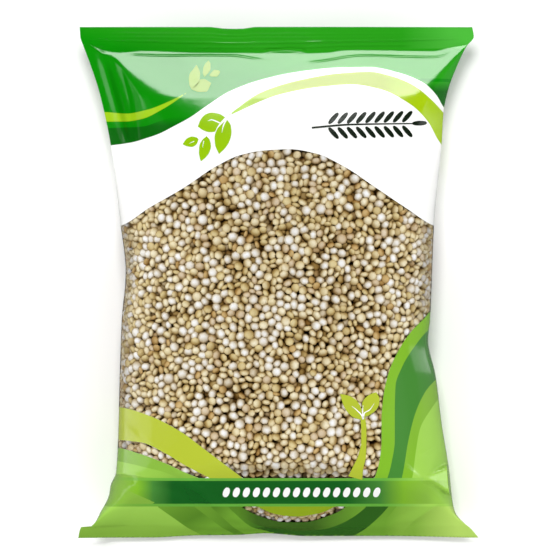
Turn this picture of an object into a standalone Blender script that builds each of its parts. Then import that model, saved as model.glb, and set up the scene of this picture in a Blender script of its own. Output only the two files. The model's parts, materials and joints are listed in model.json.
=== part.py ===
"""Pillow pack of white quinoa, lying on its back with its printed face up.

The pack is a tube of film, sealed flat across both ends and along a seam on its back, and
filled with grain. It is one solid: +Z is up, +Y points to the top seal, and the origin is
on the floor under the middle of its box.
"""

import bisect
import math

import bmesh
import bpy

MM = 0.001

# Driving sizes, in millimetres
PACK_LENGTH = 128.0
PACK_HEIGHT = 40.0
FIN_THICKNESS = 0.5
TOP_FIN = 6.25
BOTTOM_FIN = 3.1

# Heights of the line where the front and back of the film part, in millimetres
TOP_FIN_HEIGHT = 15.0
SIDE_HEIGHT = 17.0
BOTTOM_FIN_HEIGHT = 9.5
BOTTOM_EDGE_HEIGHT = 3.2

# Places along the length between which that line runs level along the sides
LEVEL_FROM = -22.0
LEVEL_TO = 10.0

# The top seal's sides hang below its middle, and the bottom seal's left corner curls up
TOP_SAG = 1.6
TOP_WAVE = 0.5
CORNER_CURL = 4.5
BOTTOM_WAVE = 0.6

# Slopes of the film between a seal and the full pack, in degrees
FRONT_TOP_SLOPE = 35.0
FRONT_BOTTOM_SLOPE = 60.0
BACK_TOP_SLOPE = 38.0
BACK_BOTTOM_SLOPE = 50.0
FOLD_SHARPNESS = 5.0

# The crown is highest at one place, and falls by a share of the squared distance from it
CROWN_PLACE = -12.0
CROWN_FALL = 0.0011

# Section of the pack: how square its sides are, in the full part and near the top seal
FULL_FROM = 12.0
FULL_TO = 46.0
FULL_POWER = 2.4
FRONT_LEFT_POWER = 1.25
BACK_LEFT_POWER = 1.8
RIGHT_POWER = 2.6
FRONT_ROUNDNESS = 2.0
BACK_ROUNDNESS = 2.2
BACK_FLATTENING = 3.0

# The seam on the back, pressed flat
SEAM_WIDTH = 9.0
SEAM_STEP = 0.3
SEAM_SHOULDER = 0.6

# Pleats that fan out from the seals: (how many, depth, length over which they fade)
TOP_PLEATS = (17.0, 0.55, 9.0)
BOTTOM_PLEATS = (13.0, 0.7, 7.0)
PLEAT_RISE = 2.0

# How fine the solid is
COLUMNS = 40
BODY_ROWS = 42
TOP_FIN_ROWS = 4
BOTTOM_FIN_ROWS = 3
ROW_CROWDING = 0.55

TOP_EDGE = PACK_LENGTH / 2
TOP_SEAL_LINE = TOP_EDGE - TOP_FIN
BOTTOM_SEAL_LINE = BOTTOM_FIN - TOP_EDGE
TAB_STEP = 0.25

# Side outline seen from above: (place along the length, reach to the left, reach to the right)
SIDES = [
    (TOP_EDGE, 49.75, 48.5),
    (61.6, 49.6, 48.9),
    (59.2, 48.8, 47.1),
    (54.7, 47.1, 44.9),
    (48.7, 45.1, 42.6),
    (42.7, 43.6, 41.3),
    (34.7, 42.0, 40.8),
    (14.7, 39.5, 38.9),
    (2.7, 38.2, 38.4),
    (-9.3, 39.2, 37.9),
    (-14.3, 39.4, 37.4),
    (-23.3, 39.7, 39.3),
    (-35.0, 40.0, 40.8),
    (-47.5, 40.7, 42.8),
    (-50.6, 42.0, 43.1),
    (-53.3, 42.5, 43.4),
    (-57.3, 44.5, 44.2),
    (BOTTOM_SEAL_LINE, 46.8, 47.3),
    (BOTTOM_SEAL_LINE - TAB_STEP, 49.4, 47.7),
    (-TOP_EDGE, 50.25, 50.25),
]

# Broad folds of the film: (start x, y, end x, y, half width, height), a valley where negative
FOLDS = [
    (-44.5, 55.5, -37.0, 35.0, 1.6, 0.9),
    (-41.0, 50.0, -24.0, 30.0, 3.5, -1.0),
    (34.0, -15.0, 36.5, -32.0, 1.8, 0.8),
    (36.0, -48.5, 42.5, -57.0, 1.8, -1.2),
    (42.0, -54.0, 28.0, -62.5, 1.6, 0.9),
    (-23.5, -49.5, -7.0, -62.5, 1.6, 0.8),
    (-40.0, -48.5, -24.0, -52.0, 1.6, -0.9),
    (8.0, 52.0, -2.0, 44.0, 2.4, -0.6),
    (-30.0, 8.0, -27.0, -24.0, 5.0, -0.7),
    (18.0, 20.0, 24.0, -30.0, 6.0, -0.6),
]


def clear_scene():
    for obj in list(bpy.data.objects):
        bpy.data.objects.remove(obj)


def smooth_step(low, high, value):
    share = min(max((value - low) / (high - low), 0.0), 1.0)
    return share * share * (3 - 2 * share)


def side_reach(y, side):
    """Reach of the outline at y, on side 1 (left) or 2 (right), by a curve that never overshoots."""
    places = [-station[0] for station in SIDES]
    reaches = [station[side] for station in SIDES]
    last = len(SIDES) - 1
    slopes = [
        (reaches[i + 1] - reaches[i]) / (places[i + 1] - places[i]) for i in range(last)
    ]

    def tangent(i):
        if i in (0, last):
            return slopes[min(i, last - 1)]
        before, after = slopes[i - 1], slopes[i]
        if before * after <= 0:
            return 0.0
        return 2 * before * after / (before + after)

    spot = min(max(bisect.bisect_right(places, -y) - 1, 0), last - 1)
    step = places[spot + 1] - places[spot]
    share = (-y - places[spot]) / step
    square, cube = share**2, share**3
    return (
        reaches[spot] * (2 * cube - 3 * square + 1)
        + tangent(spot) * step * (cube - 2 * square + share)
        + reaches[spot + 1] * (3 * square - 2 * cube)
        + tangent(spot + 1) * step * (cube - square)
    )


def parting_height(across, y):
    """Height of the surface that the front and back of the film leave, at the share across, -1 to 1."""
    if y > 0:
        rise = smooth_step(TOP_SEAL_LINE, LEVEL_TO, y)
        height = TOP_FIN_HEIGHT + (SIDE_HEIGHT - TOP_FIN_HEIGHT) * rise
    else:
        fall = smooth_step(LEVEL_FROM, BOTTOM_SEAL_LINE, y)
        height = SIDE_HEIGHT + (BOTTOM_FIN_HEIGHT - SIDE_HEIGHT) * fall
    if y < BOTTOM_SEAL_LINE:
        share = (BOTTOM_SEAL_LINE - y) / BOTTOM_FIN
        height += (BOTTOM_EDGE_HEIGHT - BOTTOM_FIN_HEIGHT) * share
    near_top = smooth_step(30.0, TOP_SEAL_LINE, y)
    near_bottom = smooth_step(-50.0, BOTTOM_SEAL_LINE, y)
    sag = TOP_WAVE * math.sin(5.0 * across + 0.6) - TOP_SAG * across**2
    wave = BOTTOM_WAVE * math.cos(6.0 * across)
    curl = CORNER_CURL * smooth_step(-0.8, -1.0, across) + wave
    return height + near_top * sag + near_bottom * curl


def crown_height(y):
    """Height of the full pack along its length, lower towards the top, where the grain thins out."""
    return PACK_HEIGHT - CROWN_FALL * (y - CROWN_PLACE) ** 2


def least_of(*heights):
    """A rounded minimum of positive heights, zero where one of them is zero."""
    if min(heights) <= 0:
        return 0.0
    total = sum(height**-FOLD_SHARPNESS for height in heights)
    return total ** (-1 / FOLD_SHARPNESS)


def end_slopes(y, top_degrees, bottom_degrees):
    """Thickness that the film's slopes from the two seals allow at y."""
    from_top = max(TOP_SEAL_LINE - y, 0.0) * math.tan(math.radians(top_degrees))
    from_bottom = max(y - BOTTOM_SEAL_LINE, 0.0) * math.tan(
        math.radians(bottom_degrees)
    )
    return from_top + FIN_THICKNESS / 2, from_bottom + FIN_THICKNESS / 2


def side_profile(across, y, left_power, roundness):
    """Share of the full thickness across the pack, from 0 at a side to 1 in the middle."""
    fullness = smooth_step(FULL_TO, FULL_FROM, y)
    power = left_power if across < 0 else RIGHT_POWER
    power += (FULL_POWER - power) * fullness
    root = 1 + (roundness - 1) * max(fullness, 0.25)
    return max(1 - abs(across) ** power, 0.0) ** (1 / root)


def fold_relief(x, y):
    """Height that the broad folds add to the front at x, y."""
    relief = 0.0
    for x0, y0, x1, y1, width, height in FOLDS:
        run_x, run_y = x1 - x0, y1 - y0
        length = math.hypot(run_x, run_y)
        along = ((x - x0) * run_x + (y - y0) * run_y) / length**2
        aside = ((x - x0) * run_y - (y - y0) * run_x) / length
        ends = smooth_step(-0.12, 0.2, along) * smooth_step(1.12, 0.8, along)
        relief += height * ends * math.exp(-((aside / width) ** 2))
    return relief


def seal_pleats(across, y, turn):
    """Small pleats that fan out from both seals, where the flat film narrows to the round pack."""
    pleats = 0.0
    for off, (count, depth, fade) in (
        (TOP_SEAL_LINE - y, TOP_PLEATS),
        (y - BOTTOM_SEAL_LINE, BOTTOM_PLEATS),
    ):
        rise = 1 - math.exp(-off / PLEAT_RISE)
        swing = math.sin(count * across + turn + 1.7 * math.sin(3.1 * across))
        pleats += depth * rise * math.exp(-off / fade) * swing
    return pleats


def front_height(across, x, y):
    """Height of the front of the film."""
    parting = parting_height(across, y)
    if abs(across) == 1:
        return parting
    top, bottom = end_slopes(y, FRONT_TOP_SLOPE, FRONT_BOTTOM_SLOPE)
    profile = side_profile(across, y, FRONT_LEFT_POWER, FRONT_ROUNDNESS)
    thickness = least_of(top, bottom, (crown_height(y) - parting) * profile)
    if not BOTTOM_SEAL_LINE < y < TOP_SEAL_LINE:
        return parting + thickness
    relief = fold_relief(x, y) + seal_pleats(across, y, 0.4)
    relief *= (1 - abs(across) ** 10) * smooth_step(0.0, 3.0, thickness)
    return parting + thickness + relief


def back_height(across, x, y):
    """Height of the back of the film, which lies flat on the floor with the seam under it."""
    parting = parting_height(across, y)
    if abs(across) == 1:
        return parting
    top, bottom = end_slopes(y, BACK_TOP_SLOPE, BACK_BOTTOM_SLOPE)
    profile = side_profile(across, y, BACK_LEFT_POWER, BACK_ROUNDNESS)
    thickness = least_of(top, bottom, (parting + BACK_FLATTENING) * profile)
    if not BOTTOM_SEAL_LINE < y < TOP_SEAL_LINE:
        return max(parting - thickness, SEAM_STEP)
    relief = seal_pleats(across, y, 2.3) * smooth_step(0.0, 3.0, thickness)
    height = max(parting - thickness - relief, SEAM_STEP)
    if abs(x) <= SEAM_WIDTH / 2:
        height -= SEAM_STEP
    return height


def column_shares():
    """Shares across the pack, from -1 to 1, closer together at the sides."""
    return [
        math.sin(math.pi / 2 * (2 * i / COLUMNS - 1)) for i in range(COLUMNS + 1)
    ]


def seam_columns(shares, left, right):
    """Moves the four columns nearest the middle of the back to the edges and shoulders of the seam."""
    middle = len(shares) // 2
    edge = SEAM_WIDTH / 2
    moved = list(shares)
    moved[middle - 2] = -(edge + SEAM_SHOULDER) / left
    moved[middle - 1] = -edge / left
    moved[middle + 1] = edge / right
    moved[middle + 2] = (edge + SEAM_SHOULDER) / right
    return moved


def row_places():
    """Places of the sections along the length, closer together towards the seals."""
    top_fin = [TOP_EDGE - TOP_FIN * i / TOP_FIN_ROWS for i in range(TOP_FIN_ROWS)]
    length = TOP_SEAL_LINE - BOTTOM_SEAL_LINE
    body = []
    for i in range(BODY_ROWS + 1):
        even = i / BODY_ROWS
        eased = (1 - math.cos(math.pi * even)) / 2
        share = ROW_CROWDING * eased + (1 - ROW_CROWDING) * even
        body.append(TOP_SEAL_LINE - length * share)
    tab_line = BOTTOM_SEAL_LINE - TAB_STEP
    bottom_fin = [
        tab_line - (tab_line + TOP_EDGE) * i / BOTTOM_FIN_ROWS
        for i in range(BOTTOM_FIN_ROWS + 1)
    ]
    return top_fin + body + bottom_fin


def section(y, front):
    """Points of one section of the pack's front or back, from left to right."""
    left, right = side_reach(y, 1), side_reach(y, 2)
    shares = column_shares()
    if not front:
        shares = seam_columns(shares, left, right)
    height = front_height if front else back_height
    points = []
    for across in shares:
        x = across * (left if across < 0 else right)
        points.append((x * MM, y * MM, height(across, x, y) * MM))
    return points


def add_cell(mesh, near, far, rising):
    """Two triangles between a pair of points on one section and a pair on the next.

    Their shared edge runs towards the pack's nearest corner, as its folds do.
    """
    if rising:
        mesh.faces.new((near[0], far[0], near[1]))
        mesh.faces.new((near[1], far[0], far[1]))
    else:
        mesh.faces.new((near[0], far[0], far[1]))
        mesh.faces.new((near[0], far[1], near[1]))


def pack_mesh():
    """Front and back of the film, joined along both sides and across the cut edges of both fins."""
    mesh = bmesh.new()
    rings = []
    for y in row_places():
        front = [mesh.verts.new(point) for point in section(y, True)]
        back = [mesh.verts.new(point) for point in section(y, False)[1:-1]]
        rings.append((front, [front[0], *back, front[-1]]))
    for ring, next_ring in zip(rings, rings[1:]):
        for line, next_line in zip(ring, next_ring):
            for i in range(COLUMNS):
                rising = (i < COLUMNS / 2) == (line[0].co.y < 0)
                add_cell(mesh, line[i : i + 2], next_line[i : i + 2], rising)
    for front, back in (rings[0], rings[-1]):
        for i in range(COLUMNS):
            corners = [front[i], front[i + 1], back[i + 1], back[i]]
            mesh.faces.new(dict.fromkeys(corners))
    bmesh.ops.recalc_face_normals(mesh, faces=mesh.faces)
    return mesh


def print_material():
    material = bpy.data.materials.new("printed_film")
    material.use_nodes = True
    shader = material.node_tree.nodes["Principled BSDF"]
    shader.inputs["Base Color"].default_value = (0.55, 0.52, 0.30, 1.0)
    shader.inputs["Roughness"].default_value = 0.25
    shader.inputs["Metallic"].default_value = 0.0
    return material


def build_pack():
    mesh = bpy.data.meshes.new("quinoa_pack")
    shape = pack_mesh()
    shape.to_mesh(mesh)
    shape.free()
    mesh.materials.append(print_material())
    mesh.shade_smooth()
    mesh.set_sharp_from_angle(angle=math.radians(40))
    pack = bpy.data.objects.new("quinoa_pack", mesh)
    bpy.context.scene.collection.objects.link(pack)


clear_scene()
build_pack()
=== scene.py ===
"""Pillow pack of white quinoa: printed film with a clear window, and the seeds behind it.

The pack lies on its back with the printed face up and the top seal towards +Y. The film's
shape is worked out in millimetres by formula, and each finished mesh is in metres.
"""

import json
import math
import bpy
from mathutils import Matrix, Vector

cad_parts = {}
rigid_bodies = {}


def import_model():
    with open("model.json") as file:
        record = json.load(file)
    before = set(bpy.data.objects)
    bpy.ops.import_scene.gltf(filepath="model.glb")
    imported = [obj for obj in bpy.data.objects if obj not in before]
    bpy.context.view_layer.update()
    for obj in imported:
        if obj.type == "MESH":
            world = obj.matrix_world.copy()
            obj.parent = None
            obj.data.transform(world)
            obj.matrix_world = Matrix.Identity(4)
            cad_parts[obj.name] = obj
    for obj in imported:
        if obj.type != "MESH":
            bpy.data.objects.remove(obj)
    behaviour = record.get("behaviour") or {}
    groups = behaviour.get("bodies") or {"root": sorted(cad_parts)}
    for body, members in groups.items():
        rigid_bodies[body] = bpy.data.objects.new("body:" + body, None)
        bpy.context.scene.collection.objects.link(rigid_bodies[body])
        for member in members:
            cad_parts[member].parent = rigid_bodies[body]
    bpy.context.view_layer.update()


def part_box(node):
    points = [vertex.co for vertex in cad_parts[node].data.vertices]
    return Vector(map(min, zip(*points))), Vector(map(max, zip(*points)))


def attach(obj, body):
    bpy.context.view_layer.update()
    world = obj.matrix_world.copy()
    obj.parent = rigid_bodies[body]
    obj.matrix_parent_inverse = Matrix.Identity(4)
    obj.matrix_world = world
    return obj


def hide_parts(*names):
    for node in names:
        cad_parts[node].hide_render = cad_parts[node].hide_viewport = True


bl_info = {
    "name": "Quinoa pack",
    "version": (1, 0, 0),
    "blender": (4, 5, 0),
    "location": "3D View > Sidebar > Quinoa pack",
    "description": "Builds a film pack of white quinoa with a clear window",
    "category": "Object",
}

import bmesh
import bpy
import numpy as np
from bpy.props import FloatProperty, FloatVectorProperty, IntProperty, PointerProperty
from bpy.types import Operator, Panel, PropertyGroup
from mathutils import Vector, kdtree, noise
from mathutils.bvhtree import BVHTree

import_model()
LOW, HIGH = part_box("quinoa_pack")

MM = 0.001

# Sizes of the film pack, in millimetres
PACK_LENGTH = (HIGH.y - LOW.y) / MM
PACK_HEIGHT = 40.0
TOP_FIN = 6.25
BOTTOM_FIN = 3.1
FIN_THICKNESS = 0.3
FIN_TAPER = 0.3
TOP_EDGE = PACK_LENGTH / 2
TOP_SEAL_LINE = TOP_EDGE - TOP_FIN
BOTTOM_SEAL_LINE = BOTTOM_FIN - TOP_EDGE
TAB_STEP = 0.25
FILM_FLOOR = 0.3

# Heights of the line where the front and back of the film part
TOP_FIN_HEIGHT = 15.0
SIDE_HEIGHT = 17.0
BOTTOM_FIN_HEIGHT = 9.5
BOTTOM_EDGE_HEIGHT = 3.2
LEVEL_FROM = -22.0
LEVEL_TO = 10.0
TOP_SAG = 1.6
TOP_WAVE = 0.5
TOP_WAVE_SPREAD = 5.0
TOP_WAVE_START = 0.6
TOP_SAG_FROM = 30.0
CORNER_CURL = 4.5
CORNER_CURL_FROM = -0.8
BOTTOM_WAVE = 0.6
BOTTOM_WAVE_SPREAD = 6.0
BOTTOM_CURL_FROM = -50.0

# Slopes of the film between a seal and the full pack, in degrees
HEADER_SLOPE = 38.0
HEADER_LENGTH = 11.3
FRONT_TOP_SLOPE = 33.0
FRONT_BOTTOM_SLOPE = 60.0
BACK_TOP_SLOPE = 38.0
BACK_BOTTOM_SLOPE = 50.0
FOLD_SHARPNESS = 6.0

# Section of the full pack
CROWN_PLACE = -12.0
CROWN_FALL = 0.0011
FULL_FROM = 12.0
FULL_TO = 46.0
FULL_POWER = 2.4
BACK_LEFT_POWER = 1.8
RIGHT_POWER = 2.6
FRONT_ROUNDNESS = 2.0
BACK_ROUNDNESS = 2.2
BACK_FLATTENING = 3.0
LEAST_FULLNESS = 0.25

# Pleats that fan out from the seals: (how many, depth, length over which they fade)
TOP_PLEATS = (17.0, 0.12, 9.0)
BOTTOM_PLEATS = (13.0, 0.5, 7.0)
PLEAT_RISE = 2.0
PLEAT_SWING = 1.7
PLEAT_SWING_SPREAD = 3.1
FRONT_PLEAT_START = 0.4
BACK_PLEAT_START = 2.3

# Where folds, creases and pleats fade: beyond the top seal's line, at the film's thin edges in
# millimetres, at the sides as a power, and at each fold's and crease's ends as shares of it
RELIEF_REACH = 2.5
RELIEF_THICKNESS = 3.0
RELIEF_SIDE_POWER = 10
RIB_SIDE_POWER = 40
FOLD_START = (-0.12, 0.2)
FOLD_END = (1.12, 0.8)
CREASE_FADE = 0.12

# Unevenness of film that lies on seeds: (height, then for the waves across and for those along
# their length, their swing and the swing's length), in millimetres, and where it fades out
CRUMPLES = [(0.11, 4.1, 1.9, 9.0, 5.3, 1.4, 7.0), (0.025, 1.7, 1.1, 3.1, 2.1, 1.3, 2.9)]
CRUMPLE_FADE = (46.0, 38.0)

# How fine the film's mesh is
FRONT_COLUMNS = 264
BACK_COLUMNS = 88
BODY_ROWS = 262
HEADER_ROWS = 28
HEADER_ROWS_FROM = 53.25
TOP_FIN_ROWS = 40
BOTTOM_FIN_ROWS = 9

# Side outline seen from above: (place along the length, reach to the left, reach to the right)
SIDES = [
    (TOP_EDGE, 49.75, 48.5), (61.6, 49.6, 48.9), (59.2, 48.8, 47.1), (54.7, 47.1, 44.9),
    (48.7, 45.1, 42.6), (42.7, 43.6, 41.3), (34.7, 42.0, 40.8), (14.7, 39.5, 38.9),
    (2.7, 38.2, 38.4), (-9.3, 39.2, 37.9), (-14.3, 39.4, 37.4), (-23.3, 39.7, 39.3),
    (-35.0, 40.0, 40.8), (-47.5, 40.7, 42.8), (-50.6, 42.0, 43.1), (-53.3, 42.5, 43.4),
    (-57.3, 44.5, 44.2), (BOTTOM_SEAL_LINE, 46.8, 47.3),
    (BOTTOM_SEAL_LINE - TAB_STEP, 49.4, 47.7), (-TOP_EDGE, 50.25, 50.25),
]

# Line where the top seal ends, and how far both cut ends fall short of the pack's full length
SEAL_LINE = [
    (-50.0, 60.4), (-46.4, 59.3), (-43.9, 58.2), (-39.7, 57.7), (-33.7, 58.1), (-22.0, 57.7),
    (5.7, 57.5), (11.4, 57.6), (17.8, 58.3), (38.9, 58.1), (43.2, 59.0), (48.0, 59.8),
]
TOP_NOTCH = [(-17.0, 0.0), (-12.5, 0.45), (-9.5, 0.45), (-6.0, 0.0)]
BOTTOM_NOTCH = [
    (-48.0, 0.0), (-32.0, 0.0), (-20.3, 0.55), (-10.9, 0.65), (-3.0, 1.1), (7.0, 0.4),
    (26.6, 0.4), (48.0, 0.0),
]

# Section of the front at the top left, where the film is drawn in: (place across, share of height)
LEFT_PROFILE = [
    (-1.0, 0.0), (-0.93, 0.035), (-0.88, 0.06), (-0.845, 0.12), (-0.82, 0.22), (-0.79, 0.31),
    (-0.76, 0.375), (-0.7, 0.46), (-0.5, 0.68), (-0.25, 0.88), (0.0, 1.0),
]

# Thin creases that run across the film: (points, half width, height), a valley where negative
CREASES = [
    ([(-39.0, 57.1), (-29.4, 56.9), (-12.0, 56.9), (-6.6, 56.2), (-2.2, 55.2)], 0.2, -0.09),
    ([(5.6, 54.8), (10.4, 55.4), (20.5, 56.8), (38.9, 56.5), (45.2, 58.3)], 0.2, -0.08),
    ([(-4.0, 58.1), (1.5, 58.4), (7.0, 58.0)], 0.5, -0.45),
    ([(34.9, -43.2), (38.0, -41.4), (41.6, -40.3)], 0.5, 0.3),
    ([(35.3, -49.0), (37.8, -49.8), (40.1, -51.3), (42.0, -53.4)], 0.6, -0.7),
    ([(30.5, -62.2), (33.6, -59.9), (36.3, -57.8), (39.1, -55.7), (42.5, -53.8)], 0.5, 0.35),
]
RIBS = [
    ([(-48.0, 60.7), (-38.0, 60.5), (-24.0, 60.2)], 0.24, 0.14),
    ([(-28.0, 60.2), (-10.0, 60.05), (12.0, 60.2)], 0.24, 0.25),
    ([(6.0, 60.2), (25.0, 60.6), (46.0, 61.1)], 0.24, 0.24),
    ([(-22.0, 58.9), (0.0, 58.8), (3.0, 58.8)], 0.3, 0.2),
    ([(5.0, 58.8), (18.0, 59.4), (34.0, 59.5)], 0.26, 0.2),
    ([(-48.0, 62.4), (0.0, 62.2), (48.0, 62.4)], 0.3, 0.06),
    ([(-48.0, 61.5), (0.0, 61.3), (48.0, 61.9)], 0.3, 0.06),
]

# Flat facets pressed into the film: (corners, slope in degrees, direction of the fall in degrees)
FACETS = [
    ([(35.9, -48.5), (42.2, -45.6), (42.9, -52.9)], 36.9, -20.0),
]
FACET_EDGE = 0.35
FACET_SIDE_MARGIN = 0.985

# Folds of the film: (start x, y, end x, y, half width, height), a valley where negative
EDGE_FOLDS = [
    (-44.7, 57.5, -37.6, 33.5, 1.15, 1.9),
]
FOLDS = [
    (-41.0, 50.0, -24.0, 30.0, 3.5, -1.0),
    (34.0, -15.0, 36.5, -32.0, 1.8, 0.3),
    (42.0, -54.0, 28.0, -62.5, 1.6, 0.9),
    (-23.5, -49.5, -7.0, -62.5, 1.6, 0.8),
    (-40.0, -48.5, -24.0, -52.0, 1.6, -0.9),
    (-30.0, 8.0, -27.0, -24.0, 5.0, -0.7),
    (18.0, 20.0, 24.0, -30.0, 6.0, -0.6),
    (-38.0, -36.0, -20.0, -52.0, 1.2, 0.35),
    (36.5, -30.0, 41.0, -36.0, 1.2, 0.4),
]

# Edges of the print and of painted shade and light, in millimetres on the film laid flat:
# (across, along) where an edge runs from side to side, and (along, across) where it runs up and down
HEADER_EDGE = [
    (-60.0, 33.4), (-41.9, 34.4), (-37.1, 35.0), (-32.6, 36.2), (-29.6, 37.25), (-26.6, 38.75),
    (-22.1, 41.2), (-17.9, 44.15), (-12.1, 47.85), (-4.1, 50.8), (5.4, 52.8), (15.4, 53.8),
    (22.9, 53.9), (30.4, 52.4), (36.6, 49.7), (39.6, 46.7), (41.4, 43.9), (60.0, 33.4),
]
HEADER_SHADE_EDGE = [(-60.0, 38.2), (-43.0, 38.7), (-34.0, 39.0), (-30.0, 40.2), (-22.0, 43.0), (-10.0, 51.0)]
SWOOSH_TOP = [(-60.0, 43.6), (-43.2, 42.7), (-38.1, 42.3), (-32.7, 43.2), (-27.4, 45.2), (-21.8, 48.1)]
SWOOSH_BOTTOM = [(-60.0, 40.6), (-43.0, 40.3), (-38.7, 40.3), (-34.1, 40.9), (-28.7, 43.4), (-21.8, 48.1)]
ARC_TOP = [
    (-13.0, 41.4), (-4.1, 47.6), (5.4, 50.6), (15.4, 52.3), (22.9, 52.7), (27.9, 51.7),
    (33.4, 49.45), (38.4, 45.5), (41.1, 42.7), (60.0, 22.0),
]
ARC_BOTTOM = [
    (-13.0, 41.4), (0.4, 47.0), (10.4, 48.9), (18.4, 49.5), (25.4, 48.3), (32.9, 44.5),
    (37.4, 40.1), (39.9, 35.7), (60.0, 12.0),
]
WINDOW_TOP = [
    (-60.0, 11.5), (-39.6, 14.2), (-32.1, 18.7), (-23.4, 23.7), (-15.9, 28.7), (-9.6, 31.7),
    (-3.4, 32.9), (2.9, 33.2), (9.1, 32.2), (16.6, 28.7), (24.1, 23.7), (31.6, 18.7),
    (38.9, 14.2), (60.0, 9.0),
]
LIME_TOP = [
    (-60.0, -30.0), (-39.4, -31.1), (-32.1, -33.1), (-24.6, -36.8), (-18.4, -41.3),
    (-13.4, -45.1), (-8.9, -48.6), (0.0, -56.0),
]
LIME_BOTTOM = [
    (-60.0, -38.6), (-39.6, -39.3), (-34.1, -39.8), (-28.4, -42.3), (-23.4, -45.3),
    (-16.6, -48.9), (-8.0, -54.0),
]
STRIP_BOTTOM = [
    (-60.0, -40.6), (-39.9, -41.3), (-34.6, -42.6), (-28.4, -44.8), (-23.4, -47.1),
    (-18.9, -49.0), (-10.0, -54.0),
]
LABEL_TOP = -49.3
LABEL_BOTTOM = -55.2
LABEL_LINE = 0.7
WINDOW_RIGHT = [
    (8.0, 70.0), (0.0, 50.0), (-4.5, 42.5), (-7.1, 37.9), (-8.6, 36.6), (-12.3, 32.9),
    (-16.8, 29.9), (-22.3, 27.4), (-28.1, 26.1), (-34.3, 25.6), (-39.3, 25.6), (-44.3, 25.1),
    (-48.6, 23.9), (-56.0, 21.0),
]
LIGHT_BAND_RIGHT = [
    (4.0, 70.0), (-4.0, 50.0), (-8.5, 42.5), (-11.8, 37.4), (-15.6, 34.1), (-20.6, 30.9),
    (-25.6, 29.1), (-31.8, 28.9), (-39.3, 28.9), (-44.8, 28.1), (-48.6, 27.1), (-56.0, 24.0),
]
DARK_BAND_RIGHT = [
    (-14.0, 70.0), (-18.0, 50.0), (-21.5, 43.0), (-24.1, 39.4), (-27.3, 36.5), (-33.0, 33.9),
    (-39.4, 32.3), (-48.6, 30.7), (-56.0, 28.0),
]
RIM_BAND_RIGHT = [
    (-18.0, 70.0), (-22.0, 50.0), (-26.0, 43.0), (-31.4, 38.1), (-36.5, 35.2), (-42.0, 34.2),
    (-48.6, 33.3), (-56.0, 31.0),
]
# Edges of a painted highlight: a streak along the fold low on the left
HIGHLIGHT_STREAK_TOP = [
    (-60.0, -44.4), (-40.5, -44.6), (-37.6, -45.0), (-33.0, -46.0), (-29.2, -46.9),
    (-25.4, -48.2), (-23.8, -48.6),
]
HIGHLIGHT_STREAK_BOTTOM = [(-60.0, -47.6), (-40.5, -47.8), (-36.6, -47.9), (-33.0, -48.5), (-23.8, -48.7)]
OLIVE_BOTTOM = [
    (-5.9, -55.6), (-3.2, -57.0), (-0.6, -57.9), (4.2, -58.5), (9.6, -57.8), (12.1, -57.0),
    (14.6, -55.6),
]
SLIVER_BOTTOM = [
    (-10.0, -55.6), (-7.0, -57.4), (-4.4, -58.5), (-1.9, -59.4), (1.9, -60.0), (5.8, -60.0),
    (8.8, -59.6), (12.1, -58.5), (14.7, -57.4), (17.6, -55.6),
]
LIGHT_CRESCENT_BOTTOM = [
    (-12.4, -56.2), (-11.3, -57.3), (-8.8, -58.8), (-5.7, -60.5), (-1.9, -61.7), (4.7, -62.5),
    (10.9, -62.0), (14.7, -60.8), (18.5, -58.8), (21.6, -56.3), (22.2, -55.6),
]
DARK_CRESCENT_BOTTOM = [
    (-12.4, -56.2), (-11.3, -57.3), (-7.0, -61.1), (-4.4, -62.4), (0.0, -64.5), (16.0, -65.5),
    (20.3, -63.0), (22.9, -60.8), (25.4, -58.4), (27.4, -56.1), (27.9, -55.6),
]
# Slanting edges of the painted shade on the facets below the label band
SHADED_FACET_EDGES = [
    [(-56.0, -30.2), (-62.8, -21.0), (-64.5, -18.7)],
    [(-56.0, -21.0), (-62.8, -12.4), (-64.5, -10.2)],
    [(-56.0, -16.9), (-61.7, -10.9), (-64.5, -8.0)],
]
# Edges of the painted shade at the lower right, and of the painted light past the corner's crease
RIGHT_SHADE_EDGE = [(-55.8, 29.6), (-58.7, 27.3), (-63.0, 22.0), (-64.5, 20.0)]
CORNER_EDGE = [(30.0, -64.5), (33.6, -59.9), (36.3, -57.8), (39.1, -55.7), (42.5, -53.6), (60.0, -47.0)]

LABEL_CORNER_EDGE = [(LABEL_BOTTOM, -30.08), (LABEL_TOP, -43.06)]

# How far the window's clear film wraps round the sides, and where the lower green's edge runs
# along the strip under the lime band
WRAP = 50.0
STRIP_END = -18.0

# Starts of inks that stop short of the pack's left side
HEADER_END_LEFT = 36.0
HEADER_END_TOP = 50.2
SEAL_END_LEFT = 30.0
SEAL_END_BOTTOM = 58.6
ARC_LEFT = -13.0
CORNER_LEFT = 30.0


def linear(hex_colour):
    """Linear red, green and blue of an sRGB hex colour."""
    parts = [int(hex_colour[i : i + 2], 16) / 255 for i in (1, 3, 5)]
    return tuple(c / 12.92 if c <= 0.04045 else ((c + 0.055) / 1.055) ** 2.4 for c in parts)


def colour_prop(name, description, hex_colour):
    return FloatVectorProperty(
        name=name,
        description=description,
        subtype="COLOR",
        size=3,
        min=0.0,
        max=1.0,
        default=linear(hex_colour),
    )


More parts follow.
